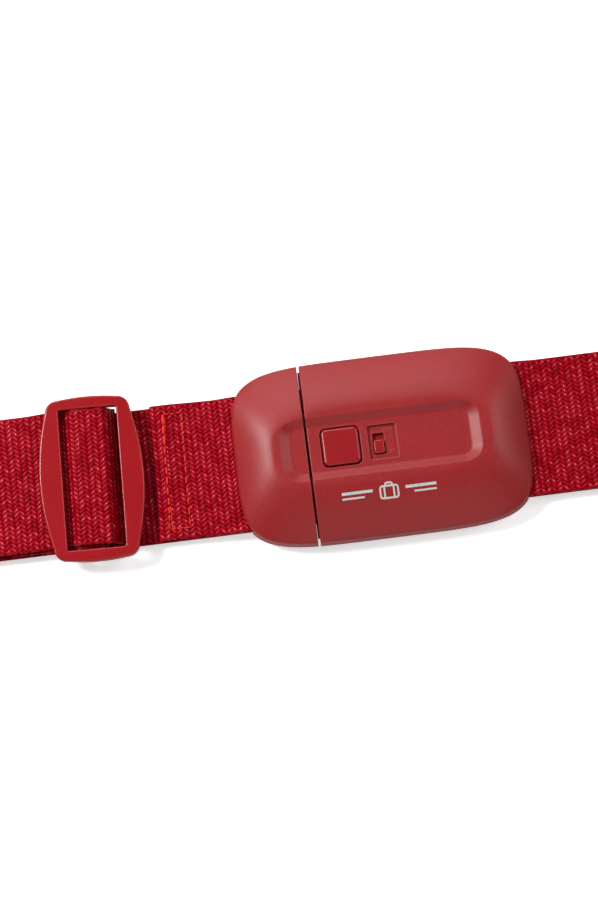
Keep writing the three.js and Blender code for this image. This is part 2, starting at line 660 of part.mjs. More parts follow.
function adjusterOutline(inset) {
  const corner = 4.6;
  const reach = ADJUSTER_HALF_LENGTH - END_BOW - corner;
  const right = [];
  for (let i = -8; i <= 8; i++) {
    const y = (reach * i) / 8;
    right.push(new THREE.Vector2(sideBow(y) - inset, y));
  }
  const cornerX = sideBow(reach) - corner;
  for (let i = 1; i <= 5; i++) {
    const angle = (Math.PI / 2) * (i / 6);
    const [dx, dy] = [Math.cos(angle), Math.sin(angle)].map((c) => (corner - inset) * c);
    right.push(new THREE.Vector2(cornerX + dx, reach + dy));
  }
  const end = (x) => new THREE.Vector2(x, ADJUSTER_HALF_LENGTH - inset - END_BOW * (x / cornerX) ** 2);
  const top = [1, 0.5, 0, -0.5, -1].map((f) => end(f * cornerX));
  const bottomRight = right.slice(17).map((p) => new THREE.Vector2(p.x, -p.y)).reverse();
  const half = [...bottomRight, ...right, ...top.slice(0, 2), top[2]];
  const mirrored = half.slice(0, -1).map((p) => new THREE.Vector2(-p.x, p.y)).reverse();
  const bottom = [-1, -0.5, 0, 0.5, 1].map((f) => end(f * cornerX)).map((p) => new THREE.Vector2(p.x, -p.y));
  return [...half, ...mirrored, ...bottom];
}

function adjusterFrame() {
  const edge = 1;
  const ring = (inset, z) => adjusterOutline(inset).map((p) => new THREE.Vector3(p.x, p.y, z));
  const body = loft([
    ring(edge / 2, ADJUSTER_BOTTOM),
    ring(0, ADJUSTER_BOTTOM + edge / 2),
    ring(0, ADJUSTER_TOP - edge),
    ring(0.3 * edge, ADJUSTER_TOP - 0.3 * edge),
    ring(edge, ADJUSTER_TOP),
  ]);
  const [w, l] = [WINDOW_HALF_WIDTH, WINDOW_HALF_LENGTH];
  const bar = across(roundedRect(CENTRE_BAR_WIDTH, CENTRE_BAR_THICK, 1), l + 1.6).translate([0, 0, CENTRE_BAR_Z]);
  const feet = (y) => box(-4, 4, y - 1.3, y + 1.3, CENTRE_BAR_Z - CENTRE_BAR_THICK / 2, ADJUSTER_BOTTOM + 0.5);
  return body
    .subtract(box(-w, w, -l, l, 0, 20))
    .add(bar)
    .add(feet(l + 1.4))
    .add(feet(-l - 1.4))
    .rotate([0, 0, THREE.MathUtils.radToDeg(ADJUSTER_TWIST)])
    .translate([ADJUSTER_X, ADJUSTER_Y, 0]);
}

// ---- The strap ----
const finish = (color, roughness, metalness = 0) => new THREE.MeshStandardMaterial({ color, roughness, metalness });
const shellRed = finish(0xa3383a, 0.55);
const glossRed = finish(0x9f2429, 0.3);
const webbingRed = finish(0x991924, 0.85);
const threadRed = finish(0xe03a30, 0.6);
const acetal = finish(0xe6e2d8, 0.4);
const steel = finish(0xb8babd, 0.3, 1);

const strap = new THREE.Group();

function place(name, body, material) {
  const mesh = body.getMesh();
  const g = new THREE.BufferGeometry();
  g.setAttribute("position", new THREE.BufferAttribute(new Float32Array(mesh.vertProperties), 3));
  g.setIndex(new THREE.BufferAttribute(new Uint32Array(mesh.triVerts), 1));
  g.computeVertexNormals();
  const node = new THREE.Mesh(g, material);
  node.name = name;
  strap.add(node);
}

place("housing_cover", housingCover(), shellRed);
place("housing_base", housingBase(), shellRed);
place("tongue_cover", tongueCover(), shellRed);
place("tongue_base", tongueBase(), shellRed);
HOUSING_SCREWS.forEach(([x, y], i) => place(`housing_screw_${i + 1}`, screw(x, y), steel));
TONGUE_SCREWS.forEach(([x, y], i) => place(`tongue_screw_${i + 1}`, screw(x, y), steel));

place("release_button", releaseButton(), glossRed);
place("button_spring", buttonSpring(), steel);
place("latch_arm", latchArm(), acetal);
place("lock_slide", lockSlide(), glossRed);
place("adjuster_frame", adjusterFrame(), glossRed);

place("webbing_housing_run", webbingHousingRun(), webbingRed);
place("webbing_tongue_run", webbingTongueRun(), webbingRed);
place("webbing_left_fold", webbingLeftFold(), webbingRed);
place("webbing_upper_run", webbingUpperRun(), webbingRed);
place("webbing_over_bar", webbingOverBar(), webbingRed);
place("webbing_bar_loop", webbingBarLoop(), webbingRed);
const onTop = layer(3) + WEB_THICK / 2 + 0.05;
place("box_seam", seam(SEAM_X, SEAM_LENGTH, SEAM_HALF_WIDTH, onTop), threadRed);
place(
  "bar_loop_seam",
  seam(ADJUSTER_X - TAIL_SEAM_OFFSET, TAIL_SEAM_LENGTH, SEAM_HALF_WIDTH, onTop).translate([0, ADJUSTER_Y, 0]),
  threadRed,
);

export default strap;
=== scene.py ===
"""Looks of a red 50 mm luggage strap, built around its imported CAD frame.

Lengths are in millimetres until a mesh, a light or the camera is made. X runs along the strap, from the
buckle's tongue half to its housing half, Y across it, and Z up.
"""
import math

import bmesh
import bpy
import numpy as np
from mathutils import Matrix, Quaternion, Vector


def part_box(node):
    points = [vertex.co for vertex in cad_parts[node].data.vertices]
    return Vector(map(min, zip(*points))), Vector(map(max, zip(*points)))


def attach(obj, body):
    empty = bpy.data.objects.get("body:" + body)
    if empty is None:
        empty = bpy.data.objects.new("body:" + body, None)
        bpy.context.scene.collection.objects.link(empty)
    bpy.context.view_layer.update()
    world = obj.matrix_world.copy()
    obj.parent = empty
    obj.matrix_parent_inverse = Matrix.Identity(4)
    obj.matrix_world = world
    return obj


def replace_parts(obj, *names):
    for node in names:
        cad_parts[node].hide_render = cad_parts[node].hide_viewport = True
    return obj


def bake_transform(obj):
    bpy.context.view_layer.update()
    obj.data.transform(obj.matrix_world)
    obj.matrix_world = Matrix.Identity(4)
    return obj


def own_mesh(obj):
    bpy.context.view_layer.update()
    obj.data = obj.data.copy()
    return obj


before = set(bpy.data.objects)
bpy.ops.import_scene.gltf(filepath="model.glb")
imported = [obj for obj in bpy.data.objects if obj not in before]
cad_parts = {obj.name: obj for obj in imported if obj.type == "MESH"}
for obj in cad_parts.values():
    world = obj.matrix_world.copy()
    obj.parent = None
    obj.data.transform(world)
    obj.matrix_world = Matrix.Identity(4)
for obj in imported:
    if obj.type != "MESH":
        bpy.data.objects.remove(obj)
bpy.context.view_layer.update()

MM = 0.001


def span(node):
    """A CAD node's lowest and highest corners in millimetres."""
    low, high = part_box(node)
    return low / MM, high / MM


# ---- Sizes taken from the frame ----
HOUSING_LOW, HOUSING_HIGH = span("housing_cover")
BASE_LOW, _ = span("housing_base")
BUTTON_LOW, BUTTON_HIGH = span("release_button")
SPRING_LOW, SPRING_HIGH = span("button_spring")
LOCK_LOW, LOCK_HIGH = span("lock_slide")
ADJUSTER_LOW, ADJUSTER_HIGH = span("adjuster_frame")
RUN_LOW, RUN_HIGH = span("webbing_housing_run")
FLAP_SEAM_LOW, FLAP_SEAM_HIGH = span("box_seam")
TAIL_SEAM_LOW, TAIL_SEAM_HIGH = span("bar_loop_seam")

# ---- Webbing ----
WEB_WIDTH = RUN_HIGH.y - RUN_LOW.y
WEB_THICK = 1.3
LAYER_GAP = 0.15
PITCH = WEB_THICK + LAYER_GAP
LOOP_HALF = RUN_HIGH.x
FOLD_RADIUS = 7
RUN_START = 200  # where the straight upper runs begin, from the centre
LOWER_JOINT = 190  # where one half's webbing meets the other's below, from the centre

COLUMN = 2.16  # width of one column of the zigzag weave
ROW = 1.63  # distance between two bundles of yarn in a column
ARM_RISE = 1.0  # rows that a bundle climbs across its column
RELIEF = 0.28  # depth of the gaps between bundles
CALM_MARGIN = 1.5  # the zigzag dies out over this width along the edges
SCALLOP = 0.1  # how far the edges bulge between the turns of the weft
PLAIN_STEP = 2.5  # mesh steps along webbing that doesn't show its weave
PLAIN_COLUMNS = 14

# ---- Buckle ----
WALL_LEAN = 0.65  # how far the side wall's foot stands outside its rim
HALF_LENGTH = HOUSING_HIGH.x - WALL_LEAN  # at the rim, above the side wall
HALF_WIDTH = HOUSING_HIGH.y - WALL_LEAN
SQUARENESS = 4.8
RIM_BOTTOM = HOUSING_LOW.z
RIM_TOP = 8.6
CREST_HEIGHT = HOUSING_HIGH.z
CREST_HALF_LENGTH = 39
CREST_HALF_WIDTH = 13.6
CREST_SQUARENESS = 3.4
DOME_POWER = 1.5
WALL = 1.6
END_WALL = 1.65
CEILING = 13.8
HOUSING_SPLIT = BASE_LOW.x
TONGUE_SPLIT = span("tongue_cover")[1].x
LAND_THICK = HOUSING_SPLIT - HOUSING_LOW.x
LAND_HALF_WIDTH = 30.6
LAND_TOP = 7.5
MOUTH_HALF_WIDTH = 16.6  # the opening for the prongs in the housing's end face
MOUTH_TOP = 12.5
SPLIT_FILLET = 0.35

RECESS_FLOOR = 15.4
RECESS_X = -0.4
RECESS_FOOT = (32.3, 8.6, 3.6)  # half length, half width and corner radius at the floor
RECESS_RIM = (36.2, 11.3, 6.4)  # the same at the crest's height

BUTTON_SIZE = 13.4
BUTTON_GAP = 0.45
BUTTON_X = (BUTTON_LOW.x + BUTTON_HIGH.x) / 2
LOCK_X = 0.3
LOCK_FLOOR = 14.2
LOCK_WELL_WIDTH = 10.2
LOCK_WELL_LENGTH = 12.3
LOCK_PAD_X = (-6.6, 7.2)  # the thicker place in the cover that the lock's well is sunk into
LOCK_PAD_HALF_WIDTH = 8.6
KNOB_X = -1.1
KNOB_Y = -1.7

BAR_X = 41
BAR_Z = 6.8
BAR_WIDTH = 5
BAR_THICK = 2
SLOT_X = 51
HOUSING_SCREWS = [(-19, 24), (-19, -24), (28, 24), (28, -24)]
TONGUE_SCREWS = [(-32.6, 22), (-32.6, -22)]

# ---- Adjuster ----
ADJUSTER_X = (ADJUSTER_LOW.x + ADJUSTER_HIGH.x) / 2
ADJUSTER_Y = (ADJUSTER_LOW.y + ADJUSTER_HIGH.y) / 2
ADJUSTER_TWIST = math.radians(-2)
FRAME_HALF_WIDTH = 19
FRAME_HALF_LENGTH = 30.3
WINDOW_HALF_WIDTH = 10.6
WINDOW_HALF_LENGTH = 25.85
FRAME_BOTTOM = 7.6
FRAME_TOP = ADJUSTER_HIGH.z
CENTRE_BAR_Z = 7
CENTRE_BAR_WIDTH = 6
CENTRE_BAR_THICK = 2.2


# ---- Meshes ----
def smooth(t):
    return t * t * (3 - 2 * t)


def grid_faces(rows, columns, closed=False, looped=False):
    """Quads between neighbouring rows of points. closed joins the last column to the first one, and
    looped the last row to the first one."""
    faces = []
    for r in range(rows if looped else rows - 1):
        low, high = r * columns, (r + 1) % rows * columns
        for c in range(columns if closed else columns - 1):
            d = (c + 1) % columns
            faces.append((low + c, high + c, high + d, low + d))
    return faces


def mesh_object(name, points, faces, material, uv=None, sharp=35):
    """An object from points in millimetres, shaded smooth except over edges sharper than the angle."""
    mesh = bpy.data.meshes.new(name)
    mesh.from_pydata((np.asarray(points, float) * MM).tolist(), [], faces)
    if uv is not None:
        corners = np.zeros(len(mesh.loops), np.int32)
        mesh.loops.foreach_get("vertex_index", corners)
        layer = mesh.uv_layers.new(name="weave")
        layer.data.foreach_set("uv", np.asarray(uv, np.float32)[corners].ravel())
    piece = bpy.data.objects.new(name, mesh)
    bpy.context.scene.collection.objects.link(piece)
    mesh.materials.append(material)
    soften(mesh, sharp)
    return piece


def soften(mesh, sharp):
    """Turns every face outwards and shades the mesh smooth, except over edges sharper than the angle."""
    work = bmesh.new()
    work.from_mesh(mesh)
    bmesh.ops.recalc_face_normals(work, faces=work.faces)
    limit = math.radians(sharp)
    for face in work.faces:
        face.smooth = True
    for edge in work.edges:
        edge.smooth = len(edge.link_faces) == 2 and edge.calc_face_angle(0) < limit
    work.to_mesh(mesh)
    work.free()


def stand_in(piece, body, slot, *nodes):
    """Makes a piece ride on a body and replace CAD nodes. The slot is not used."""
    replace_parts(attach(piece, body), *nodes)


def even_shading(piece):
    """Lets large flat faces keep flat shading beside their rounded edges."""
    modifier = piece.modifiers.new("shading", "WEIGHTED_NORMAL")
    modifier.keep_sharp = True
    return piece


def lofts(name, stacks, material, sharp=35):
    """Closed bodies as one piece, each through a stack of rings of (x, y, z) points, capped at both ends."""
    faces, start = [], 0
    for rings in stacks:
        count = len(rings[0])
        end = len(rings) * count
        body = [*grid_faces(len(rings), count, closed=True), range(count), range(end - count, end)]
        faces += [tuple(start + v for v in face) for face in body]
        start += end
    points = np.concatenate([ring for rings in stacks for ring in rings])
    return mesh_object(name, points, faces, material, sharp=sharp)


def loft(name, rings, material, sharp=35):
    return lofts(name, [rings], material, sharp)


def block(x0, x1, y0, y1, z0, z1):
    """A box, used only to cut another piece or to join one."""
    ring = np.array([(x0, y0), (x1, y0), (x1, y1), (x0, y1)])
    return loft("block", [at_height(ring, z0), at_height(ring, z1)], SHELL)


def post(x, y, z0, z1, radius, sides=32):
    ring = circle(radius, sides) + (x, y)
    return loft("post", [at_height(ring, z0), at_height(ring, z1)], SHELL)


def prism(outline, half_width):
    """A shape drawn in X and Z, running across the strap."""
    ring = np.array(outline, float)
    ends = [np.insert(ring, 1, y, axis=1) for y in (-half_width, half_width)]
    return loft("prism", ends, SHELL)


def carve(piece, cuts=(), joins=(), sharp=35):
    """Joins solids to a piece and then cuts others out of it."""
    for tools, operation in ((joins, "UNION"), (cuts, "DIFFERENCE")):
        for tool in tools:
            modifier = piece.modifiers.new("solid", "BOOLEAN")
            modifier.operation = operation
            modifier.solver = "MANIFOLD"
            modifier.object = tool
    bpy.context.view_layer.update()
    shown = bpy.context.evaluated_depsgraph_get()
    mesh = bpy.data.meshes.new_from_object(piece.evaluated_get(shown))
    material = piece.data.materials[0]
    piece.modifiers.clear()
    piece.data = mesh
    mesh.name = piece.name
    mesh.materials.clear()
    mesh.materials.append(material)
    for tool in (*joins, *cuts):
        bpy.data.objects.remove(tool)
    soften(mesh, sharp)
    return even_shading(piece)


def at_height(ring, z):
    return np.column_stack([ring, np.full(len(ring), float(z))])


def circle(radius, sides):
    angles = np.linspace(0, 2 * math.pi, sides, endpoint=False)
    return radius * np.column_stack([np.cos(angles), np.sin(angles)])


def rounded_rect(width, height, radius, steps=6):
    """A rectangle with rounded corners, about the origin."""
    w, h = width / 2 - radius, height / 2 - radius
    points = []
    for turn, (x, y) in enumerate([(w, h), (-w, h), (-w, -h), (w, -h)]):
        for angle in np.radians(np.linspace(90 * turn, 90 * turn + 90, steps + 1)):
            points.append((x + radius * math.cos(angle), y + radius * math.sin(angle)))
    return np.array(points)


def rounding(radius, steps):
    """A quarter circle as pairs: how far it has turned inwards, and how far it has risen."""
    turns = np.radians(np.linspace(0, 90, steps + 1))
    return [(radius * (1 - math.cos(t)), radius * math.sin(t)) for t in turns]


def left_of(line):
    """Unit vectors square to a line of flat points, on its left."""
    heading = np.gradient(line, axis=0)
    heading /= np.linalg.norm(heading, axis=1, keepdims=True)
    return np.column_stack([-heading[:, 1], heading[:, 0]])


def bezier(a, b, c, steps):
    """Rings on a curve from a to c that bends towards b, without a itself."""
    return [(1 - t) ** 2 * a + 2 * t * (1 - t) * b + t * t * c for t in np.linspace(0, 1, steps + 1)[1:]]


# ---- Materials ----
PALE_EDGE_RADIUS = 0.7 * MM  # how far the paler edges, part wear and part painted highlight, reach from an edge
PALE_EDGE_CONTRAST = 9.0
FLOOR_GLOW = 0.6


class Graph:
    """A node material, with short ways to add nodes to it."""

    def __init__(self, name):
        self.material = bpy.data.materials.new(name)
        self.material.use_nodes = True
        self.nodes = self.material.node_tree.nodes
        self.links = self.material.node_tree.links
        self.surface = self.nodes["Principled BSDF"]

    def feed(self, socket, value):
        if isinstance(value, bpy.types.NodeSocket):
            self.links.new(value, socket)
        else:
            socket.default_value = value

    def add(self, kind, inputs=None, **settings):
        node = self.nodes.new("ShaderNode" + kind)
        for key, value in settings.items():
            setattr(node, key, value)
        for key, value in (inputs or {}).items():
            self.feed(node.inputs[key], value)
        return node

    def math(self, operation, *values, clamp=False):
        node = self.nodes.new("ShaderNodeMath")
        node.operation = operation
        node.use_clamp = clamp
        for socket, value in zip(node.inputs, values):
            self.feed(socket, value)
        return node.outputs[0]

    def spread(self, value, gain, offset):
        return self.math("MULTIPLY_ADD", value, gain, offset)

    def ramp(self, factor, *stops):
        """Colours by a factor; each stop is a position and a colour."""
        node = self.add("ValToRGB", {"Fac": factor})
        elements = node.color_ramp.elements
        while len(elements) < len(stops):
            elements.new(0.5)
        for element, (position, colour) in zip(elements, stops):
            element.position = position
            element.color = (*colour, 1)
        return node.outputs["Color"]

    def mix(self, factor, a, b, blend="MIX"):
        node = self.add("Mix", data_type="RGBA", blend_type=blend)
        self.feed(node.inputs["Factor"], factor)
        for socket, colour in zip((node.inputs[6], node.inputs[7]), (a, b)):
            self.feed(socket, (*colour, 1) if isinstance(colour, tuple) else colour)
        return node.outputs[2]

    def place(self):
        return self.add("TexCoord").outputs["Object"]

    def noise(self, scale, detail=2.0, where=None):
        inputs = {"Vector": where or self.place(), "Scale": scale, "Detail": detail}
        return self.add("TexNoise", inputs).outputs["Fac"]

    def stretched_noise(self, *scale):
        """Noise drawn out along an axis: a scale for each one."""
        mapping = self.add("Mapping", {"Vector": self.place(), "Scale": scale})
        return self.noise(1.0, where=mapping.outputs["Vector"])

    def bump(self, height, distance, strength=1.0, normal=None):
        inputs = {"Height": height, "Distance": distance, "Strength": strength}
        if normal is not None:
            inputs["Normal"] = normal
        return self.add("Bump", inputs).outputs["Normal"]

    def worn_and_lit_edges(self, radius):
        """0 on flat and hollow places, rising to 1 over the outer edges of the shape."""
        edge = self.add("Bevel", {"Radius": radius}, samples=4).outputs["Normal"]
        plain = self.add("NewGeometry").outputs["Normal"]
        turned = self.add("VectorMath", {0: edge, 1: plain}, operation="DOT_PRODUCT").outputs["Value"]
        return self.math("MULTIPLY", self.math("SUBTRACT", 1.0, turned), PALE_EDGE_CONTRAST, clamp=True)

    def finish(self, **inputs):
        for key, value in inputs.items():
            self.feed(self.surface.inputs[key.replace("_", " ")], value)
        return self.material


def webbing_material():
    """Bundles of shiny yarn in a zigzag, drawn from the weave's own coordinates. The colour carries painted
    shade in the gaps between bundles, painted light on their crests and painted glints.
    """
    g = Graph("red_webbing")
    weave = g.add("SeparateXYZ", {"Vector": g.add("UVMap", uv_map="weave").outputs["UV"]})
    u, v = weave.outputs["X"], weave.outputs["Y"]
    climb = g.math("MULTIPLY", g.math("PINGPONG", u, 1.0), ARM_RISE)
    wander = g.spread(g.noise(260.0), 0.5, -0.25)
    row = g.math("ADD", g.math("ADD", v, climb), wander)
    across = g.spread(g.math("FRACT", row), 2.0, -1.0)
    ridge = g.math("POWER", g.math("SUBTRACT", 1.0, g.math("MULTIPLY", across, across)), 0.45)
    waist = g.math("POWER", g.math("ABSOLUTE", g.math("SINE", g.math("MULTIPLY", u, math.pi))), 0.65)
    height = g.math("MULTIPLY", ridge, g.spread(waist, 0.72, 0.28))
    cell = g.add("CombineXYZ", {"X": g.math("FLOOR", u), "Y": g.math("FLOOR", row)}).outputs["Vector"]
    each = g.add("TexWhiteNoise", {"Vector": cell}, noise_dimensions="2D").outputs["Value"]
    strand = g.math("SINE", g.math("MULTIPLY", row, 2 * math.pi * 5))
    gap_shade_and_tone = g.math("ADD", height, g.spread(each, 0.34, -0.2))
    gap_shade_and_tone = g.math("ADD", gap_shade_and_tone, g.spread(g.noise(2500.0), 0.3, -0.15))
    gap_shade_and_tone = g.math("MULTIPLY_ADD", strand, 0.035, gap_shade_and_tone)
    # Darkest in the gaps between bundles and brightest on their crests: painted shade and light, with each
    # bundle's own random tone added.
    colour = g.ramp(
        gap_shade_and_tone,
        (0.0, (0.035, 0.0, 0.0008)),
        (0.3, (0.15, 0.0003, 0.003)),
        (0.62, (0.32, 0.0006, 0.008)),
        (1.0, (0.39, 0.001, 0.012)),
    )
    # Small pale pink spots on the bundles: painted glints.
    along = g.spread(g.math("FRACT", u), 4.8, -2.4)
    off = g.math("ADD", g.math("MULTIPLY", along, along), g.math("MULTIPLY", across, across))
    painted_glint = g.math("SUBTRACT", g.spread(each, 0.45, 0.0), off, clamp=True)
    colour = g.mix(g.math("MULTIPLY", painted_glint, 1.8, clamp=True), colour, (0.85, 0.17, 0.21))
    fibre = g.bump(g.math("ADD", g.noise(6000.0), g.math("MULTIPLY", strand, 0.5)), 0.00005, 0.4)
    normal = g.bump(height, 0.0003, 0.6, fibre)
    rough = g.spread(each, 0.18, 0.3)
    gloss = g.math("MULTIPLY", height, g.spread(each, 0.35, 0.15))
    g.finish(Specular_IOR_Level=gloss, Specular_Tint=(1.0, 0.3, 0.34, 1))
    return g.finish(Base_Color=colour, Roughness=rough, Normal=normal)


def thread_material():
    """Bright twisted thread."""
    g = Graph("bright_thread")
    twist = {"Vector": g.place(), "Scale": 900.0, "Distortion": 2.0}
    ply = g.add("TexWave", twist, bands_direction="DIAGONAL").outputs["Fac"]
    colour = g.ramp(ply, (0.0, (0.58, 0.012, 0.006)), (1.0, (0.95, 0.045, 0.018)))
    normal = g.bump(ply, 0.00012, 0.6)
    return g.finish(Base_Color=colour, Roughness=0.6, Normal=normal, Specular_IOR_Level=0.25)


def plastic_material(name, colour, pale, roughness, grain, grain_size, glint_paint, gloss=0.5, edge_wear_and_highlight=0.3):
    """Moulded plastic: a fine random grain with small painted glints, faint flow marks, and paler edges that
    are partly wear and partly a painted highlight.
    grain and grain_size are the grain's depth and width in millimetres."""
    g = Graph(name)
    fine = g.noise(1000 / grain_size, 3.0)
    broad = g.noise(45.0, 3.0)
    streaks = g.stretched_noise(30, 160, 160)
    dark = tuple(0.88 * c for c in colour)
    flow = g.math("MULTIPLY_ADD", streaks, 0.3, g.math("MULTIPLY", broad, 0.7))
    body = g.ramp(flow, (0.3, dark), (0.7, colour))
    # Pale specks in the colour: painted glints on the grain.
    painted_glints = g.ramp(fine, (0.5, (0, 0, 0)), (0.75, (1, 1, 1)))
    body = g.mix(g.math("MULTIPLY", painted_glints, glint_paint), body, pale)
    # Paler outer edges: partly wear, partly a painted highlight along the edges.
    body = g.mix(g.math("MULTIPLY", g.worn_and_lit_edges(PALE_EDGE_RADIUS), edge_wear_and_highlight), body, pale)
    rough = g.math("MULTIPLY_ADD", fine, 0.16, g.spread(broad, 0.06, roughness - 0.11))
    normal = g.bump(fine, grain * MM, 0.7)
    return g.finish(Base_Color=body, Roughness=rough, Normal=normal, Specular_IOR_Level=gloss)


def metal_material(name, colour, scratch):
    """Plated metal with fine scratches and a faintly uneven gloss."""
    g = Graph(name)
    lines = g.stretched_noise(300, 6000, 3000)
    tone = g.ramp(g.noise(700.0), (0.3, tuple(0.75 * c for c in colour)), (0.7, colour))
    rough = g.math("MULTIPLY_ADD", lines, 0.2, g.spread(g.noise(400.0), 0.15, 0.15))
    return g.finish(Base_Color=tone, Metallic=1.0, Roughness=rough, Normal=g.bump(lines, scratch * MM, 0.5))


def print_material():
    """Silver ink with a slightly broken surface."""
    g = Graph("silver_print")
    specks = g.noise(2500.0, 3.0)
    tone = g.ramp(specks, (0.25, (0.5, 0.52, 0.5)), (0.6, (0.78, 0.8, 0.77)))
    rough = g.spread(specks, 0.2, 0.35)
    return g.finish(Base_Color=tone, Metallic=0.35, Roughness=rough, Normal=g.bump(specks, 0.00001, 0.5))


def floor_material():
    """Pale floor. Its glow is for the camera only: it lifts the shadows and throws no light on the object."""
    g = Graph("pale_floor")
    colour = g.ramp(g.noise(4.0), (0.2, (0.89, 0.89, 0.89)), (0.8, (0.92, 0.92, 0.92)))
    glow = g.math("MULTIPLY", g.add("LightPath").outputs["Is Camera Ray"], FLOOR_GLOW)
    return g.finish(Base_Color=colour, Roughness=0.8, Emission_Color=colour, Emission_Strength=glow)


WEBBING = webbing_material()
THREAD = thread_material()
SHELL = plastic_material(
    "red_shell", (0.315, 0.0105, 0.0118), (0.55, 0.1, 0.1), 0.43, 0.07, 0.42, glint_paint=0.18, gloss=0.44, edge_wear_and_highlight=0.5
)
GLOSS = plastic_material(
    "red_gloss", (0.34, 0.0055, 0.0095), (0.62, 0.1, 0.1), 0.25, 0.005, 0.3, glint_paint=0.02, gloss=0.45, edge_wear_and_highlight=0.5
)
CAP = plastic_material("red_cap", (0.32, 0.008, 0.0115), (0.6, 0.1, 0.1), 0.3, 0.006, 0.3, 0.03, edge_wear_and_highlight=0.5)
ACETAL = plastic_material("white_acetal", (0.78, 0.75, 0.68), (0.9, 0.88, 0.82), 0.42, 0.02, 0.5, 0.2)
STEEL = metal_material("zinc_steel", (0.7, 0.71, 0.72), 0.02)
SPRING = metal_material("spring_steel", (0.58, 0.57, 0.55), 0.01)
SILVER = print_material()


# ---- Webbing pieces ----
def layer(n):
    """Height of the middle of a layer of webbing, counted from the resting plane."""
    return WEB_THICK / 2 + n * PITCH


SLOT_LOWER = BASE_LOW.z + 1.2 + LAYER_GAP + WEB_THICK / 2
SLOT_UPPER = SLOT_LOWER + PITCH
LOOP_RADIUS = BAR_THICK / 2 + LAYER_GAP + WEB_THICK / 2
SIDE_BAR_LAYER = 6.75  # height of the upper layer under the adjuster's left side bar
HUMP_HEIGHT = CENTRE_BAR_Z + CENTRE_BAR_THICK / 2 + LAYER_GAP + WEB_THICK / 2 + PITCH
HUMP_CREST = 5
HUMP_END = 9.5
TAIL_LENGTH = 34
FLAP_END = -82.95
FLAP_SLANT = 0.03  # how far the cut end leans for each unit of Y


def ease(x0, z0, x1, z1, steps=10):
    """Points of a run that eases from one height to another."""
    t = np.linspace(0, 1, steps + 1)
    return [(x0 + (x1 - x0) * k, z0 + (z1 - z0) * smooth(k)) for k in t]


def arc(x, z, radius, start, end, steps=24):
    angles = np.radians(np.linspace(start, end, steps + 1))
    return [(x + radius * math.cos(a), z + radius * math.sin(a)) for a in angles]


def stations(path, step):
    """Points spaced evenly along a path by about the step, with the normal on the path's left."""
    line = np.array(path, float)
    line = line[np.r_[True, np.linalg.norm(np.diff(line, axis=0), axis=1) > 1e-3]]
    lengths = np.r_[0, np.cumsum(np.linalg.norm(np.diff(line, axis=0), axis=1))]
    count = max(2, round(lengths[-1] / step))
    along = np.linspace(0, lengths[-1], count + 1)
    at = np.stack([np.interp(along, lengths, line[:, k]) for k in (0, 1)], axis=1)
    return at, left_of(at)


def weave_height(u, v):
    """Height of the zigzag weave, 0 to 1, where u counts columns and v counts rows."""
    climb = np.abs((u + 1) % 2 - 1) * ARM_RISE
    across = 2 * ((v + climb) % 1) - 1
    ridge = (1 - across**2) ** 0.6
    waist = np.abs(np.sin(np.pi * u)) ** 0.5
    return ridge * (0.3 + 0.7 * waist)


def webbing(name, path, woven="", drift=None, lean=None, fine=4):
    """A length of webbing along a path in X and Z.

    woven names the sides, "left" or "right" of the path, that show their weave. There the mesh follows
    the zigzag, with fine steps to a column and to a row. drift gives the sideways shift at an X, and
    lean the shift along X for each unit of Y.
    """
    step = COLUMN / fine if woven else PLAIN_STEP
    at, normal = stations(path, step)
    u = np.arange(len(at))[:, None] * (1 / fine if woven else step / COLUMN)
    half = WEB_WIDTH / 2
    edge = 0.45 * WEB_THICK
    flat = half - edge
    rows = round(2 * flat / ROW)
    row = 2 * flat / rows
    ring_y, ring_h = [], []
    for side, label in ((1, "left"), (-1, "right")):
        shown = woven == label
        y = np.linspace(-flat, flat, rows * fine + 1 if shown else PLAIN_COLUMNS) * side
        y = np.broadcast_to(y, (len(at), len(y))).copy()
        height = np.full_like(y, 0.5)
        if shown:
            calm = np.clip((flat - np.abs(y)) / CALM_MARGIN, 0, 1)
            climb = np.abs((u + 1) % 2 - 1) * ARM_RISE
            y -= (climb - ARM_RISE / 2) * row * calm
            height = weave_height(u, (y + flat) / row - ARM_RISE / 2)
        ring_y.append(y)
        ring_h.append(side * (WEB_THICK / 2 - RELIEF * (1 - height)))
        turn = np.radians([60, 25, -25, -60]) * side
        scallop = SCALLOP * np.sin(4 * np.pi * u)
        ring_y.append(side * (flat + (edge + scallop) * np.cos(turn)))
        ring_h.append(np.broadcast_to(0.85 * edge * np.sin(turn), (len(at), 4)))
    y, h = np.concatenate(ring_y, axis=1), np.concatenate(ring_h, axis=1)
    x = at[:, :1] + normal[:, :1] * h
    z = at[:, 1:] + normal[:, 1:] * h
    uv = np.stack([np.broadcast_to(u, y.shape), (y + flat) / row - ARM_RISE / 2], axis=2)
    shift = drift(x) if drift else 0.0
    tilt = lean(x) * y if lean else 0.0
    points = np.stack([x + tilt, y + shift, z], axis=2)
    columns = y.shape[1]
    faces = grid_faces(len(at), columns, closed=True)
    faces.append(tuple(range(columns)))
    faces.append(tuple((len(at) - 1) * columns + c for c in reversed(range(columns))))
    piece = mesh_object(name, points.reshape(-1, 3), faces, WEBBING, uv=uv.reshape(-1, 2), sharp=100)
    return piece


def mirrored(path):
    return [(-x, z) for x, z in path]


FOLD_X = LOOP_HALF - WEB_THICK / 2 - FOLD_RADIUS
FOLD_Z = layer(0) + FOLD_RADIUS


def fold_arc(n, start, end):
    """Part of the loop's right end, for layer n counted inwards."""
    return arc(FOLD_X, FOLD_Z, FOLD_RADIUS - n * PITCH, start, end, 40)


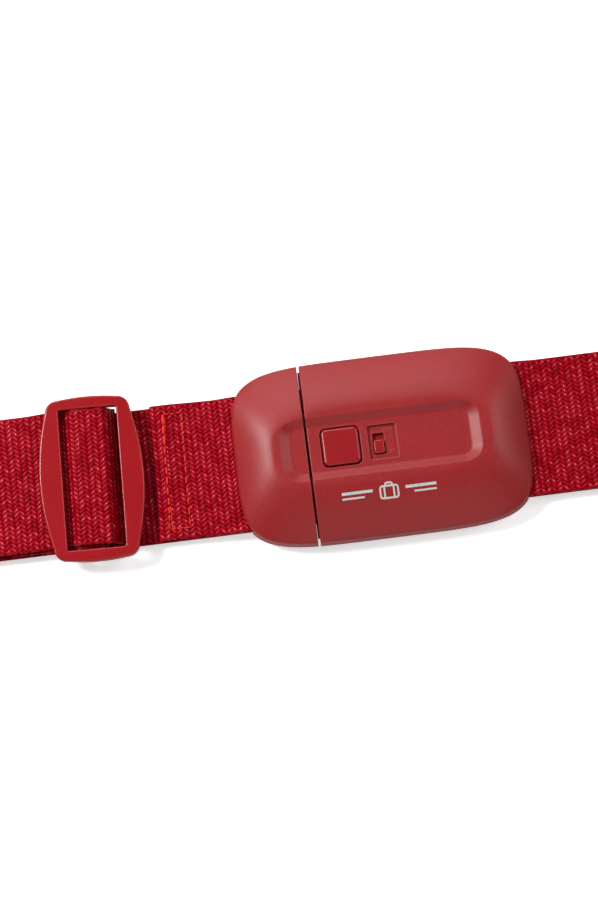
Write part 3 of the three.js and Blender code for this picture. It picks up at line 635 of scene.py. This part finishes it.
def upper_right(n, end):
    """From the top of the right end's fold down to the upper run."""
    top = FOLD_Z + FOLD_RADIUS - n * PITCH
    return [*ease(FOLD_X, top, RUN_START, layer(3 - n), 16), (end, layer(3 - n))]


def into_slot():
    """The right-hand upper layer: down into the slot, and over to the bar's far side."""
    far = BAR_X + BAR_WIDTH / 2
    return [
        *ease(SLOT_X + 9, layer(3), SLOT_X + 1, SLOT_UPPER),
        *ease(SLOT_X, SLOT_UPPER, far, BAR_Z + LOOP_RADIUS),
        *bar_turn(90, 180),
    ]


def out_of_slot():
    """The right-hand lower layer: from the bar's far side out of the slot."""
    far = BAR_X + BAR_WIDTH / 2
    return [
        *bar_turn(180, 270),
        *ease(far, BAR_Z - LOOP_RADIUS, SLOT_X, SLOT_LOWER),
        *ease(SLOT_X + 1, SLOT_LOWER, SLOT_X + 9, layer(2)),
    ]


def bar_turn(start, end):
    return arc(BAR_X - BAR_WIDTH / 2 + BAR_THICK / 2, BAR_Z, LOOP_RADIUS, start, end, 14)


def drift(*stops):
    """The webbing's sideways shift at an X, eased between stops that each hold an X and a shift."""
    places, shifts = zip(*stops)
    shifts = np.array([*shifts, shifts[-1]])

    def shift(x):
        part = np.interp(x, places, np.arange(len(places)))
        before = np.floor(part).astype(int)
        return shifts[before] + (shifts[before + 1] - shifts[before]) * smooth(part - before)

    return shift


UPPER_DRIFT = drift(
    (-225, 0),
    (-165, 2.2),
    (ADJUSTER_X - 24, 2.2),
    (ADJUSTER_X - HUMP_END - 0.5, 2.8),
    (ADJUSTER_X - HUMP_CREST, 1.75),
    (ADJUSTER_X + HUMP_CREST, 1.4),
    (ADJUSTER_X + HUMP_END, 1.45),
)
LOWER_DRIFT = drift((-232, 0), (-170, 1.6), (-125, 1.6), (-112, 0.4), (190, 0.4), (232, 0))
TAIL_DRIFT = drift((-130, 1.5), (-112, ADJUSTER_Y))
RUN_DRIFT = drift((-225, 0), (-165, 0.9), (-125, 0.9), (-112, 0.2), (-58, 0))
FLAP_DRIFT = drift((-80, 0.6), (-56, 0))


def hump_lean(x):
    """Under the adjuster's bars, the webbing's ribs lie parallel to them."""
    return math.tan(-ADJUSTER_TWIST) * smooth(np.clip((x - ADJUSTER_X + 34) / 20, 0, 1))


def flap_lean(x):
    return FLAP_SLANT * smooth(np.clip((-66 - x) / 14, 0, 1))


def right_webbing():
    outer = [*fold_arc(0, 0, 90), *upper_right(0, SLOT_X + 9), *into_slot()]
    piece = webbing("webbing_right_upper", outer, woven="right")
    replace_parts(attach(piece, "housing"), "webbing_housing_run")
    inner = [*out_of_slot(), *reversed(upper_right(1, SLOT_X + 9)), *fold_arc(1, 90, -90)]
    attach(webbing("webbing_right_inner", [*inner, (LOWER_JOINT, layer(1))]), "housing")


def lower_webbing():
    outer = [*fold_arc(0, 0, -90), *mirrored(fold_arc(0, -90, 0))]
    inner = [(LOWER_JOINT, layer(1)), (-LOWER_JOINT, layer(1))]
    for name, path, woven in (("outer", outer, "left"), ("inner", inner, "")):
        piece = webbing(f"webbing_lower_{name}", path, woven=woven, drift=LOWER_DRIFT, fine=2)
        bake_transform(piece)


def tongue_webbing():
    """The sewn-back end, the run below it and the left end's inner layer."""
    flap = [(FLAP_END, layer(3)), *mirrored(into_slot())]
    piece = webbing("webbing_flap", flap, woven="left", drift=FLAP_DRIFT, lean=flap_lean)
    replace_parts(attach(piece, "tongue"), "webbing_tongue_run", "webbing_left_fold")
    joint = -RUN_START + 25
    run = [*mirrored(out_of_slot()), (joint, layer(2))]
    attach(webbing("webbing_tongue_run_shown", run, woven="right", drift=RUN_DRIFT), "tongue")
    inner = mirrored([*reversed(upper_right(1, RUN_START)), *fold_arc(1, 90, -90), (LOWER_JOINT, layer(1))])
    piece = webbing("webbing_left_inner", [(joint, layer(2)), *inner], drift=RUN_DRIFT)
    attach(piece, "tongue")


def adjuster_webbing():
    """The upper layer from the left end to the adjuster and over its centre bar."""
    x = ADJUSTER_X
    path = [
        *mirrored(fold_arc(0, 0, 90)),
        *mirrored(upper_right(0, RUN_START - 1)),
        *ease(x - TAIL_LENGTH - 12, layer(3), x - TAIL_LENGTH, SIDE_BAR_LAYER),
        *ease(x - HUMP_END, SIDE_BAR_LAYER, x - HUMP_CREST, HUMP_HEIGHT),
        *ease(x + HUMP_CREST, HUMP_HEIGHT, x + HUMP_END, layer(3)),
    ]
    piece = webbing("webbing_left_upper", path, woven="left", drift=UPPER_DRIFT, lean=hump_lean)
    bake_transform(piece)
    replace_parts(piece, "webbing_upper_run", "webbing_over_bar")


def bar_loop():
    """The webbing's other end, round the adjuster's centre bar and back."""
    radius = CENTRE_BAR_THICK / 2 + LAYER_GAP + WEB_THICK / 2
    back = ADJUSTER_X - CENTRE_BAR_WIDTH / 2
    turn = ADJUSTER_X + CENTRE_BAR_WIDTH / 2 - CENTRE_BAR_THICK / 2
    path = [
        (back - 1, CENTRE_BAR_Z - radius),
        *arc(turn, CENTRE_BAR_Z, radius, -90, 90),
        *ease(back, CENTRE_BAR_Z + radius, back - 7, layer(3)),
        (ADJUSTER_X - TAIL_LENGTH + 2, layer(3)),
    ]
    piece = webbing("webbing_bar_loop_shown", path, drift=TAIL_DRIFT, lean=hump_lean)
    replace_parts(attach(piece, "adjuster"), "webbing_bar_loop")


# ---- Stitching ----
def stitch(x0, y0, x1, y1, z, radius):
    """One stitch: a short arched length of thread with tapered ends that dive into the webbing."""
    t = np.linspace(0, 1, 9)
    along = np.array([x1 - x0, y1 - y0])
    length = np.linalg.norm(along)
    along /= length
    side = np.array([-along[1], along[0]])
    rings = []
    for k in t:
        lift = z + 0.6 * radius * math.sin(math.pi * k) ** 0.5
        size = radius * (0.35 + 0.65 * math.sin(math.pi * min(max(k, 0.04), 0.96)) ** 0.4)
        centre = np.array([x0, y0]) + along * length * k
        ring = circle(size, 10)
        rings.append(np.column_stack([centre + np.outer(ring[:, 0], side), lift + 0.8 * ring[:, 1]]))
    return rings


def stitches(name, lines, z, body, node):
    """Rows of stitches as one piece. A line is its two ends, its thread's radius, a stitch's length and
    the share of that length which is thread."""
    stacks = []
    chance = np.random.default_rng(7)
    for (x0, y0), (x1, y1), radius, length, share in lines:
        number = max(1, round(math.hypot(x1 - x0, y1 - y0) / length))
        for i in range(number):
            a, b = (i + (1 - share) / 2) / number, (i + (1 + share) / 2) / number
            wander = chance.normal(0, 0.08, 4)
            ends = [x0 + (x1 - x0) * a, y0 + (y1 - y0) * a, x0 + (x1 - x0) * b, y0 + (y1 - y0) * b]
            stacks.append(stitch(*(np.array(ends) + wander), z, radius))
    stand_in(lofts(name, stacks, THREAD, sharp=60), body, "thread", node)


def seams():
    low, high = FLAP_SEAM_LOW, FLAP_SEAM_HIGH
    top = high.z - 0.3
    left_top, left_low = (low.x + 0.5, high.y + 0.4), (low.x - 1.3, low.y + 0.8)
    right_top, right_low = (high.x + 0.4, high.y + 0.4), (high.x - 1.1, low.y + 0.8)

    def on_left(k, shift=0.0):
        """A point part of the way down the left line, and the shift to its right."""
        (x0, y0), (x1, y1) = left_top, left_low
        return x0 + (x1 - x0) * k + shift, y0 + (y1 - y0) * k

    lines = [
        (on_left(0.0), on_left(0.27), 0.55, 3.6, 0.92),
        (on_left(0.02, 0.45), on_left(0.25, 0.3), 0.42, 3.2, 0.88),
        (on_left(0.27), on_left(0.8), 0.4, 3.9, 0.72),
        (on_left(0.8, 0.5), on_left(1.0, 0.7), 0.3, 3.0, 0.8),
        (on_left(0.8, -0.1), on_left(1.0, -0.3), 0.3, 3.0, 0.8),
        (right_top, right_low, 0.3, 3.9, 0.6),
        (left_top, right_top, 0.24, 2.3, 0.7),
        (left_low, right_low, 0.26, 2.3, 0.75),
    ]
    stitches("box_stitching", lines, top, "tongue", "box_seam")
    x0, x1, y0, y1 = TAIL_SEAM_LOW.x, TAIL_SEAM_HIGH.x, TAIL_SEAM_LOW.y, TAIL_SEAM_HIGH.y
    corners = [(x0, y0), (x1, y0), (x1, y1), (x0, y1)]
    lines = [(corners[i], corners[(i + 1) % 4], 0.3, 3.4, 0.85) for i in range(4)]
    stitches("tail_stitching", lines, TAIL_SEAM_HIGH.z - 0.35, "adjuster", "bar_loop_seam")


# ---- Buckle covers ----
SIDE_STEPS, CORNER_STEPS, END_STEPS = 18, 22, 9


def superellipse_quarter(a, b, n, split):
    """Outline points on the +Y side, from the middle of the end to the split plane."""
    y_end = b / 2
    x_side = max(0.45 * a, split + 0.25 * (a - split))
    y = np.linspace(0, y_end, END_STEPS, endpoint=False)
    end = np.column_stack([a * (1 - (y / b) ** n) ** (1 / n), y])
    start, stop = math.asin((y_end / b) ** (n / 2)), math.acos((x_side / a) ** (n / 2))
    t = np.linspace(start, stop, CORNER_STEPS, endpoint=False)
    corner = np.column_stack([a * np.cos(t) ** (2 / n), b * np.sin(t) ** (2 / n)])
    x = np.linspace(x_side, split, SIDE_STEPS)
    side = np.column_stack([x, b * (1 - np.abs(x / a) ** n) ** (1 / n)])
    return np.concatenate([end, corner, side])


def rectangle_quarter(a, b, radius, split):
    """The same for a rectangle with rounded corners."""
    y = np.linspace(0, b - radius, END_STEPS, endpoint=False)
    t = np.linspace(0, math.pi / 2, CORNER_STEPS, endpoint=False)
    x = np.linspace(a - radius, split, SIDE_STEPS)
    end = np.column_stack([np.full(END_STEPS, a), y])
    corner = np.column_stack([a - radius + radius * np.cos(t), b - radius + radius * np.sin(t)])
    return np.concatenate([end, corner, np.column_stack([x, np.full(SIDE_STEPS, b)])])


def half_ring(quarter, z):
    """From the split plane on the -Y side, round the end, to the split plane on the +Y side."""
    return at_height(np.concatenate([quarter[::-1] * (1, -1), quarter[1:]]), z)


def dome_height(s):
    return RIM_TOP + (CREST_HEIGHT - RIM_TOP) * (1 - (1 - s) ** DOME_POWER)


def dome_shape(s):
    """The dome's half length, half width and squareness, where s is 0 at the rim and 1 at the crest."""
    return (
        HALF_LENGTH + (CREST_HALF_LENGTH - HALF_LENGTH) * s,
        HALF_WIDTH + (CREST_HALF_WIDTH - HALF_WIDTH) * s,
        SQUARENESS + (CREST_SQUARENESS - SQUARENESS) * s,
    )


def dome_ring(s, split, inset=0.0, z=None):
    a, b, n = dome_shape(s)
    quarter = superellipse_quarter(a - inset, b - inset, n, split)
    return half_ring(quarter, dome_height(s) - inset if z is None else z)


def cover_rings(split):
    """The outer surface of one half, from its lower edge up over the dome and down to the recess."""
    foot, crease, soft = 0.35, 0.7, 0.045
    lean = WALL_LEAN / (RIM_TOP - RIM_BOTTOM)
    rings = []
    for rise, out in rounding(foot, 3):
        rings.append(dome_ring(0, split, foot - out - WALL_LEAN, RIM_BOTTOM + rise))
    wall_top = dome_ring(0, split, -lean * crease, RIM_TOP - crease)
    rings += [wall_top, *bezier(wall_top, dome_ring(0, split), dome_ring(soft, split), 5)]
    rings += [dome_ring(s, split) for s in np.linspace(soft, 1, 26)[1:]]
    crest = rings[-1]
    shift = RECESS_X if split < 0 else -RECESS_X
    shrink = 0.6

    def recess_ring(size, inset, z):
        a, b, radius = size
        return half_ring(rectangle_quarter(a + shift - inset, b - inset, radius - inset, split), z)

    rim = recess_ring(RECESS_RIM, 0, CREST_HEIGHT)
    floor = recess_ring(RECESS_FOOT, 0, RECESS_FLOOR)
    inner = recess_ring(RECESS_FOOT, shrink, RECESS_FLOOR)
    high, low = rim + 0.12 * (floor - rim), rim + 0.86 * (floor - rim)
    rings += bezier(rim + 0.15 * (crest - rim), rim, high, 5)
    rings += [low, *bezier(low, floor, inner, 5)]
    return rings


def hollow_rings(split):
    """The space inside a cover."""
    rise = CREST_HEIGHT - RIM_TOP
    last = 1 - (1 - (CEILING + WALL - RIM_TOP) / rise) ** (1 / DOME_POWER)
    foot = dome_ring(0, split, WALL - WALL_LEAN, RIM_BOTTOM - 1)
    rings = [foot, dome_ring(0, split, WALL, RIM_TOP - WALL / 2)]
    return rings + [dome_ring(s, split, WALL) for s in np.linspace(0.03, last, 14)]


def close_half(name, rings, sign, fillet=0.0, steps=4):
    """A solid from half rings: capped below and above, and closed by a flat face at the split plane,
    with a rounded edge if fillet is set. sign is -1 for the tongue half."""
    rings = np.array(rings)
    edge = rounding(fillet, steps)[1:] if fillet else []
    profile = rings[:, -1, 1:]
    inward = left_of(profile)
    start = np.full(len(profile), rings[0, -1, 0])
    for inset, reach in edge:
        column = np.column_stack([start - reach, profile + inward * inset])
        rings = np.concatenate([(column * (1, -1, 1))[:, None], rings, column[:, None]], axis=1)
    rows, columns = rings.shape[:2]
    faces = grid_faces(rows, columns)
    for base in (0, (rows - 1) * columns):
        faces.append(tuple(base + c for c in range(len(edge), columns - len(edge))))
        for k in range(len(edge)):
            faces.append((base + k, base + k + 1, base + columns - 2 - k, base + columns - 1 - k))
    left = [r * columns for r in range(rows)]
    right = [r * columns + columns - 1 for r in reversed(range(rows))]
    faces.append((*left, *right))
    points = rings.reshape(-1, 3) * (sign, 1, 1)
    return mesh_object(name, points, faces, SHELL)


def webbing_space(sign):
    """The space for the webbing round a half's bar, and the slot in the end wall where it comes out."""
    gap = LAYER_GAP + WEB_THICK / 2 + 0.1
    far = BAR_X + BAR_WIDTH / 2
    roof = BAR_Z + LOOP_RADIUS + gap
    outline = [
        (HALF_LENGTH + 3, 0),
        (HALF_LENGTH + 3, SLOT_UPPER + gap + 0.6),
        (HALF_LENGTH + 0.5, SLOT_UPPER + gap + 0.5),
        (HALF_LENGTH, SLOT_UPPER + gap + 0.1),
        (SLOT_X, SLOT_UPPER + gap),
        (SLOT_X - 1.5, SLOT_UPPER + gap + 0.5),
        (far + 1.5, roof - 0.2),
        (far, roof),
        (far - 7, roof),
        (far - 7, 0),
    ]
    return prism([(sign * x, z) for x, z in outline], WEB_WIDTH / 2 + 0.6)


def lipped(outline, x, y, low, top, lip):
    """A cutter for an opening in a flat face at the height top, with a rounded lip.

    outline gives the opening's shape, grown by an amount.
    """
    rings = [at_height(outline(0) + (x, y), low)]
    rings += [at_height(outline(grow) + (x, y), top - lip + rise) for grow, rise in rounding(lip, 4)]
    rings.append(at_height(outline(lip) + (x, y), top + 4))
    return loft("opening", rings, SHELL)


def screw_bosses(screws):
    boss_low, boss_top, radius = 6.15, 11.9, 2.7
    pilot_top, pilot_radius = 11.2, 1.25
    joins = [post(x, y, boss_low, boss_top, radius) for x, y in screws]
    cuts = [post(x, y, boss_low - 1, pilot_top, pilot_radius) for x, y in screws]
    return joins, cuts


def tongue_cover():
    wall = TONGUE_SPLIT - END_WALL
    piece = close_half("tongue_shell", cover_rings(SPLIT_FILLET - TONGUE_SPLIT), -1, SPLIT_FILLET)
    reach = MOUTH_HALF_WIDTH + 0.7
    mouth = block(wall - 1, TONGUE_SPLIT + 1, -reach, reach, 0, MOUTH_TOP + 0.1)
    carve(piece, cuts=[close_half("hollow", hollow_rings(-wall), -1), mouth])
    joins, pilots = screw_bosses(TONGUE_SCREWS)
    carve(piece, joins=joins, cuts=[*pilots, webbing_space(-1)])
    stand_in(piece, "tongue", "tongue_shell", "tongue_cover")


def housing_cover():
    wall = HOUSING_SPLIT + END_WALL
    piece = close_half("housing_shell", cover_rings(HOUSING_SPLIT + SPLIT_FILLET), 1, SPLIT_FILLET)
    mouth = block(HOUSING_SPLIT - 1, wall + 1, -MOUTH_HALF_WIDTH, MOUTH_HALF_WIDTH, 0, MOUTH_TOP)
    carve(piece, cuts=[close_half("hollow", hollow_rings(wall), 1), mouth])
    joins, pilots = screw_bosses(HOUSING_SCREWS)
    pad = block(*LOCK_PAD_X, -LOCK_PAD_HALF_WIDTH, LOCK_PAD_HALF_WIDTH, LOCK_FLOOR - 1.4, CEILING + 0.5)
    joins += [pad, *lock_rails(), *lands()]
    size = BUTTON_SIZE + 2 * BUTTON_GAP

    def button_opening(grow):
        return rounded_rect(size + 2 * grow, size + 2 * grow, 2.1 + grow)

    def lock_well(grow):
        return rounded_rect(LOCK_WELL_WIDTH + 2 * grow, LOCK_WELL_LENGTH + 2 * grow, 0.7 + grow)

    def knob_slot(grow):
        return rounded_rect(4.2 + 2 * grow, 7.8 + 2 * grow, 0.5 + grow)

    cuts = [
        *pilots,
        webbing_space(1),
        lipped(button_opening, BUTTON_X, 0, 10, RECESS_FLOOR, 0.3),
        lipped(lock_well, LOCK_X, 0, LOCK_FLOOR, RECESS_FLOOR, 0.35),
        lipped(knob_slot, KNOB_X, -0.5, 10, LOCK_FLOOR, 0.15),
    ]
    carve(piece, joins=joins, cuts=cuts)
    carve(piece, joins=lock_marks())
    stand_in(piece, "housing", "housing_shell", "housing_cover")


def lands():
    """The raised lands on the housing's end face, which nearly close the gap between the halves."""
    x0, x1 = HOUSING_SPLIT - LAND_THICK, HOUSING_SPLIT + 0.5
    pair = (-LAND_HALF_WIDTH, -MOUTH_HALF_WIDTH), (MOUTH_HALF_WIDTH, LAND_HALF_WIDTH)
    return [block(x0, x1, y0, y1, RIM_BOTTOM, LAND_TOP) for y0, y1 in pair]


def lock_rails():
    """Two L-shaped rails under the cover that carry the lock slide."""
    thick, lip, foot, clearance = 0.8, 1, 0.7, 0.2
    low, top = LOCK_LOW.z - foot - clearance, LOCK_FLOOR - 1.3
    left, right = LOCK_PAD_X[0], LOCK_PAD_X[1] - 0.6
    reach = LOCK_PAD_HALF_WIDTH
    spans = (
        (left, left + thick, top),
        (left, left + thick + lip, low + foot),
        (right - thick, right, top),
        (right - thick - lip, right, low + foot),
    )
    return [block(x0, x1, -reach, reach, low, z1) for x0, x1, z1 in spans]


def lock_marks():
    """Two plain raised marks beside the knob, for locked and unlocked."""
    marks = []
    for x, y, width, height in ((2.6, 4.1, 3.4, 1.6), (3.3, -3.9, 1.4, 1.4)):
        rings = [
            at_height(rounded_rect(width - grow, height - grow, 0.35) + (x, y), z)
            for grow, z in ((0, LOCK_FLOOR - 0.2), (0, LOCK_FLOOR + 0.15), (0.25, LOCK_FLOOR + 0.3))
        ]
        marks.append(loft("mark", rings, SHELL))
    return marks


# ---- Button, lock and spring ----
def soft_cap(name, width, height, radius, x, y, bottom, top, edge, crown, material):
    """A block with rounded sides, a soft upper edge and a slightly crowned top."""
    rings = [at_height(rounded_rect(width, height, radius) + (x, y), bottom)]
    for inset, rise in rounding(edge, 7):
        ring = rounded_rect(width - 2 * inset, height - 2 * inset, max(radius - inset, 0.3))
        rings.append(at_height(ring + (x, y), top - crown - edge + rise))
    inner = rings[-1]
    middle = np.array([x, y, top])
    for k in (0.85, 0.6, 0.3):
        ring = middle + (inner - middle) * (k, k, 0)
        ring[:, 2] = top - crown * k * k
        rings.append(ring)
    return loft(name, rings, material)


def release_button():
    low, high = BUTTON_LOW, BUTTON_HIGH
    rim = low.z + 3.55  # underside of the flange that stops the button in its opening
    piece = soft_cap("button_cap", BUTTON_SIZE, BUTTON_SIZE, 1.8, BUTTON_X, 0, rim, high.z, 0.95, 0.08, CAP)
    flange = block(low.x, high.x, low.y, high.y, rim, rim + 1.1)
    inside = BUTTON_SIZE / 2 - 1.3
    hollow = block(BUTTON_X - inside, BUTTON_X + inside, -inside, inside, 0, high.z - 1.6)
    carve(piece, joins=[flange], cuts=[hollow])
    inner, outer = 4.4, BUTTON_SIZE / 2
    sides = (-outer, -inner), (inner, outer)
    legs = [
        block(BUTTON_X + x0, BUTTON_X + x1, y0, y1, low.z, rim + 0.3) for x0, x1 in sides for y0, y1 in sides
    ]
    carve(piece, joins=legs)
    stand_in(piece, "button", "button_plastic", "release_button")


def lock_slide():
    low, high = LOCK_LOW, LOCK_HIGH
    plate_top = low.z + 1.1
    width, length, bottom = 3.6, 4.8, plate_top - 0.1
    piece = soft_cap("lock_knob", width, length, 0.5, KNOB_X, KNOB_Y, bottom, high.z, 0.35, 0.05, CAP)
    plate = block(low.x, high.x, low.y, high.y, low.z, plate_top)
    spring_slit = block(high.x - 3.2, high.x - 2.2, -6.5, 4, 0, CREST_HEIGHT)
    carve(piece, joins=[plate], cuts=[spring_slit])
    stand_in(piece, "lock", "lock_plastic", "lock_slide")


def button_spring():
    wire, turns, sides = 0.6, 6, 12
    low, high = SPRING_LOW.z + wire / 2, SPRING_HIGH.z - wire / 2
    radius = (SPRING_HIGH.x - SPRING_LOW.x - wire) / 2
    section = circle(wire / 2, sides)
    rings = []
    for t in np.linspace(0, 1, 40 * turns + 1):
        angle = 2 * math.pi * turns * t
        settle = smooth(min(1.0, t * turns / 1.2)) * smooth(min(1.0, (1 - t) * turns / 1.2))
        flat = low if t < 0.5 else high
        z = flat + (low + (high - low) * t - flat) * (0.25 + 0.75 * settle)
        out = np.array([math.cos(angle), math.sin(angle), 0])
        rings.append(section[:, :1] * out + section[:, 1:] * (0, 0, 1) + radius * out + (BUTTON_X, 0, z))
    piece = loft("spring_coil", rings, SPRING, sharp=60)
    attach(piece, "housing")
    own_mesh(piece)
    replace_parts(piece, "button_spring")


# ---- Adjuster ----
def ring_from_quarter(quarter):
    """A closed outline from its quarter between the +X and the +Y axis."""
    x, y = (-1, 1), (1, -1)
    return np.concatenate(
        [quarter, (quarter * x)[::-1][1:], (quarter * (-1, -1))[1:], (quarter * y)[::-1][1:-1]]
    )


def bowed_outline(half_width, half_length, corner, grow, bow=0.0, end_bow=0.0):
    """A rectangle with rounded corners, grown by an amount. Its long sides may bow outwards by bow times
    the square of Y, and its ends by end_bow."""
    reach = half_length - end_bow - corner
    y = np.linspace(0, reach, 12, endpoint=False)
    side = np.column_stack([half_width - bow * y * y + grow, y])
    corner_x = half_width - bow * reach**2 - corner
    t = np.linspace(0, math.pi / 2, 10, endpoint=False)
    turn = (corner + grow) * np.column_stack([np.cos(t), np.sin(t)]) + (corner_x, reach)
    x = np.linspace(corner_x, 0, 9)
    end = np.column_stack([x, half_length + grow - end_bow * (x / corner_x) ** 2])
    return ring_from_quarter(np.concatenate([side, turn, end]))


def frame_outline(inset):
    return bowed_outline(FRAME_HALF_WIDTH, FRAME_HALF_LENGTH, 4.6, -inset, 0.00575, 0.8)


def window_outline(grow):
    return bowed_outline(WINDOW_HALF_WIDTH, WINDOW_HALF_LENGTH, 0.9, grow)


def quarter_turn(outline, z, radius, up, outward):
    """Rings that round an edge, from the side to the flat face or back."""
    rings = [at_height(outline(inset), z + up * rise) for inset, rise in rounding(radius, 5)]
    return rings if outward else rings[::-1]


def adjuster_frame():
    edge, lip = 0.75, 0.5
    rings = [
        *quarter_turn(frame_outline, FRAME_BOTTOM + edge, edge, -1, False),
        *quarter_turn(frame_outline, FRAME_TOP - edge, edge, 1, True),
        *quarter_turn(window_outline, FRAME_TOP - lip, lip, 1, False),
        *quarter_turn(window_outline, FRAME_BOTTOM + lip, lip, -1, True),
    ]
    count = len(rings[0])
    faces = grid_faces(len(rings), count, closed=True, looped=True)
    piece = mesh_object("adjuster_body", np.concatenate(rings), faces, GLOSS)
    reach = WINDOW_HALF_LENGTH + 1.6
    section = rounded_rect(CENTRE_BAR_WIDTH, CENTRE_BAR_THICK, 1) + (0, CENTRE_BAR_Z)
    joins = [prism(section, reach)]
    bottom = CENTRE_BAR_Z - CENTRE_BAR_THICK / 2
    for side in (-1, 1):
        y0, y1 = sorted((side * (WINDOW_HALF_LENGTH + 0.1), side * (WINDOW_HALF_LENGTH + 2.7)))
        joins.append(block(-4, 4, y0, y1, bottom, FRAME_BOTTOM + 0.5))
    carve(piece, joins=joins)
    place = Matrix.Translation(Vector((ADJUSTER_X, ADJUSTER_Y, 0)) * MM)
    piece.data.transform(place @ Matrix.Rotation(ADJUSTER_TWIST, 4, "Z"))
    stand_in(piece, "adjuster", "adjuster_plastic", "adjuster_frame")


# ---- Printed mark ----
def cover_height(x, y):
    """The height of the dome's outer surface."""
    low, high = np.zeros_like(x), np.ones_like(x)
    for _ in range(40):
        s = (low + high) / 2
        a, b, n = dome_shape(s)
        inside = np.abs(x / a) ** n + np.abs(y / b) ** n < 1
        low, high = np.where(inside, s, low), np.where(inside, high, s)
    return dome_height(low)


def ribbon(points, width):
    """A flat line of ink through the points, as rows of left, middle and right points."""
    line = np.array(points, float)
    side = left_of(line) * width / 2
    return np.stack([line - side, line, line + side], axis=1)


def suitcase_lines(x, y):
    """A plain suitcase: its body, its handle and two bands."""
    body = rounded_rect(6.4, 4.2, 0.9, 8) + (x, y)
    bend = np.array([(-1.2, 2.2), (-1.2, 2.9), (-0.8, 3.2), (0.8, 3.2), (1.2, 2.9), (1.2, 2.2)])
    handle = bend + (x, y)
    bands = [[(x + dx, y - 2), (x + dx, y), (x + dx, y + 2)] for dx in (-1.7, 1.7)]
    return [np.vstack([body, body[:2]]), handle, *bands]


def printed_mark():
    """Two lines either side of a suitcase, printed on the dome below the recess."""
    y = -18.1
    lines = [(line, 0.65) for line in suitcase_lines(0.3, y - 0.5)]
    for start, end in ((-16.7, -5.6), (6.2, 17.3)):
        x = np.linspace(start, end, 30)
        lines.append((np.column_stack([x, np.full(30, y + 0.5)]), 1.0))
        lines.append((np.column_stack([x[:22] if start < 0 else x[8:], np.full(22, y - 1.3)]), 0.65))
    stacks = []
    thick = 0.05
    for line, width in lines:
        strip = ribbon(line, width)
        z = cover_height(strip[..., 0], strip[..., 1])[..., None]
        top, under = np.concatenate([strip, z + thick], axis=2), np.concatenate([strip, z - thick], axis=2)
        stacks.append(np.concatenate([top, under[:, ::-1]], axis=1))
    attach(lofts("printed_mark", stacks, SILVER, sharp=50), "housing")


# ---- Carried-over nodes ----
def dress(node, material, width):
    """Gives a CAD node its material and rounds its sharp edges."""
    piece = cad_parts[node]
    if not piece.material_slots:
        piece.data.materials.append(material)
    for slot in piece.material_slots:
        slot.material = material
    weld = piece.modifiers.new("weld", "WELD")
    weld.merge_threshold = 1e-6
    bevel = piece.modifiers.new("bevel", "BEVEL")
    bevel.width = width * MM
    bevel.segments = 2
    bevel.limit_method = "ANGLE"
    bevel.angle_limit = math.radians(40)
    even_shading(piece)


def carried_nodes():
    dress("housing_base", SHELL, 0.25)
    dress("tongue_base", SHELL, 0.25)
    dress("latch_arm", ACETAL, 0.15)
    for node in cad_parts:
        if "_screw_" in node:
            dress(node, STEEL, 0.08)


# ---- Stage ----
LAMPS = {  # each one's place in metres, its diameter in metres and its power in watts
    "key": ((-0.72, 0.32, 0.78), 0.34, 10.9),
    "back": ((-0.15, 1.1, 0.75), 1.0, 7.4),
    "side": ((0.78, 0.2, 0.7), 0.6, 3.4),
    "front": ((0.1, -0.9, 0.6), 1.0, 2.4),
}
LAMPS_AIM = (-0.03, 0, 0)
SKY_STRENGTH = 0.06
FLOOR_REACH = 3000
FLOOR_Z = -0.05


def aimed(name, data, place, target, roll=0.0):
    """A light or a camera that looks at the target."""
    looker = bpy.data.objects.new(name, data)
    looker.location = place
    looker.rotation_mode = "QUATERNION"
    look = (Vector(target) - Vector(place)).to_track_quat("-Z", "Y")
    looker.rotation_quaternion = look @ Quaternion((0, 0, 1), -roll)
    bpy.context.scene.collection.objects.link(looker)
    return looker


def stage():
    low, high = -FLOOR_REACH, FLOOR_REACH
    corners = [(x, y, FLOOR_Z) for x, y in ((low, low), (high, low), (high, high), (low, high))]
    mesh_object("floor", corners, [(0, 1, 2, 3)], floor_material())
    world = bpy.data.worlds.new("studio")
    world.use_nodes = True
    world.node_tree.nodes["Background"].inputs["Color"].default_value = (1, 1, 1, 1)
    world.node_tree.nodes["Background"].inputs["Strength"].default_value = SKY_STRENGTH
    bpy.context.scene.world = world
    for name, (place, size, power) in LAMPS.items():
        lamp = bpy.data.lights.new(name, "AREA")
        lamp.shape = "DISK"
        lamp.size = size
        lamp.energy = power
        aimed(name, lamp, place, LAMPS_AIM)
    bpy.context.scene.view_settings.view_transform = "Standard"


def camera():
    """Nearly overhead, from the -Y side, with the strap rising to the right in the picture."""
    aim = Vector((-29.8, 2.6, 8)) * MM
    elevation, roll, distance, view_height = math.radians(79), math.radians(7.2), 0.9, 0.3245
    back = Vector((0, -math.cos(elevation), math.sin(elevation)))
    data = bpy.data.cameras.new("camera")
    data.sensor_width = 36
    data.lens = data.sensor_width * distance / view_height
    bpy.context.scene.camera = aimed("camera", data, aim + back * distance, aim, roll)


right_webbing()
lower_webbing()
tongue_webbing()
adjuster_webbing()
bar_loop()
seams()
tongue_cover()
housing_cover()
release_button()
lock_slide()
button_spring()
adjuster_frame()
printed_mark()
carried_nodes()
stage()
camera()
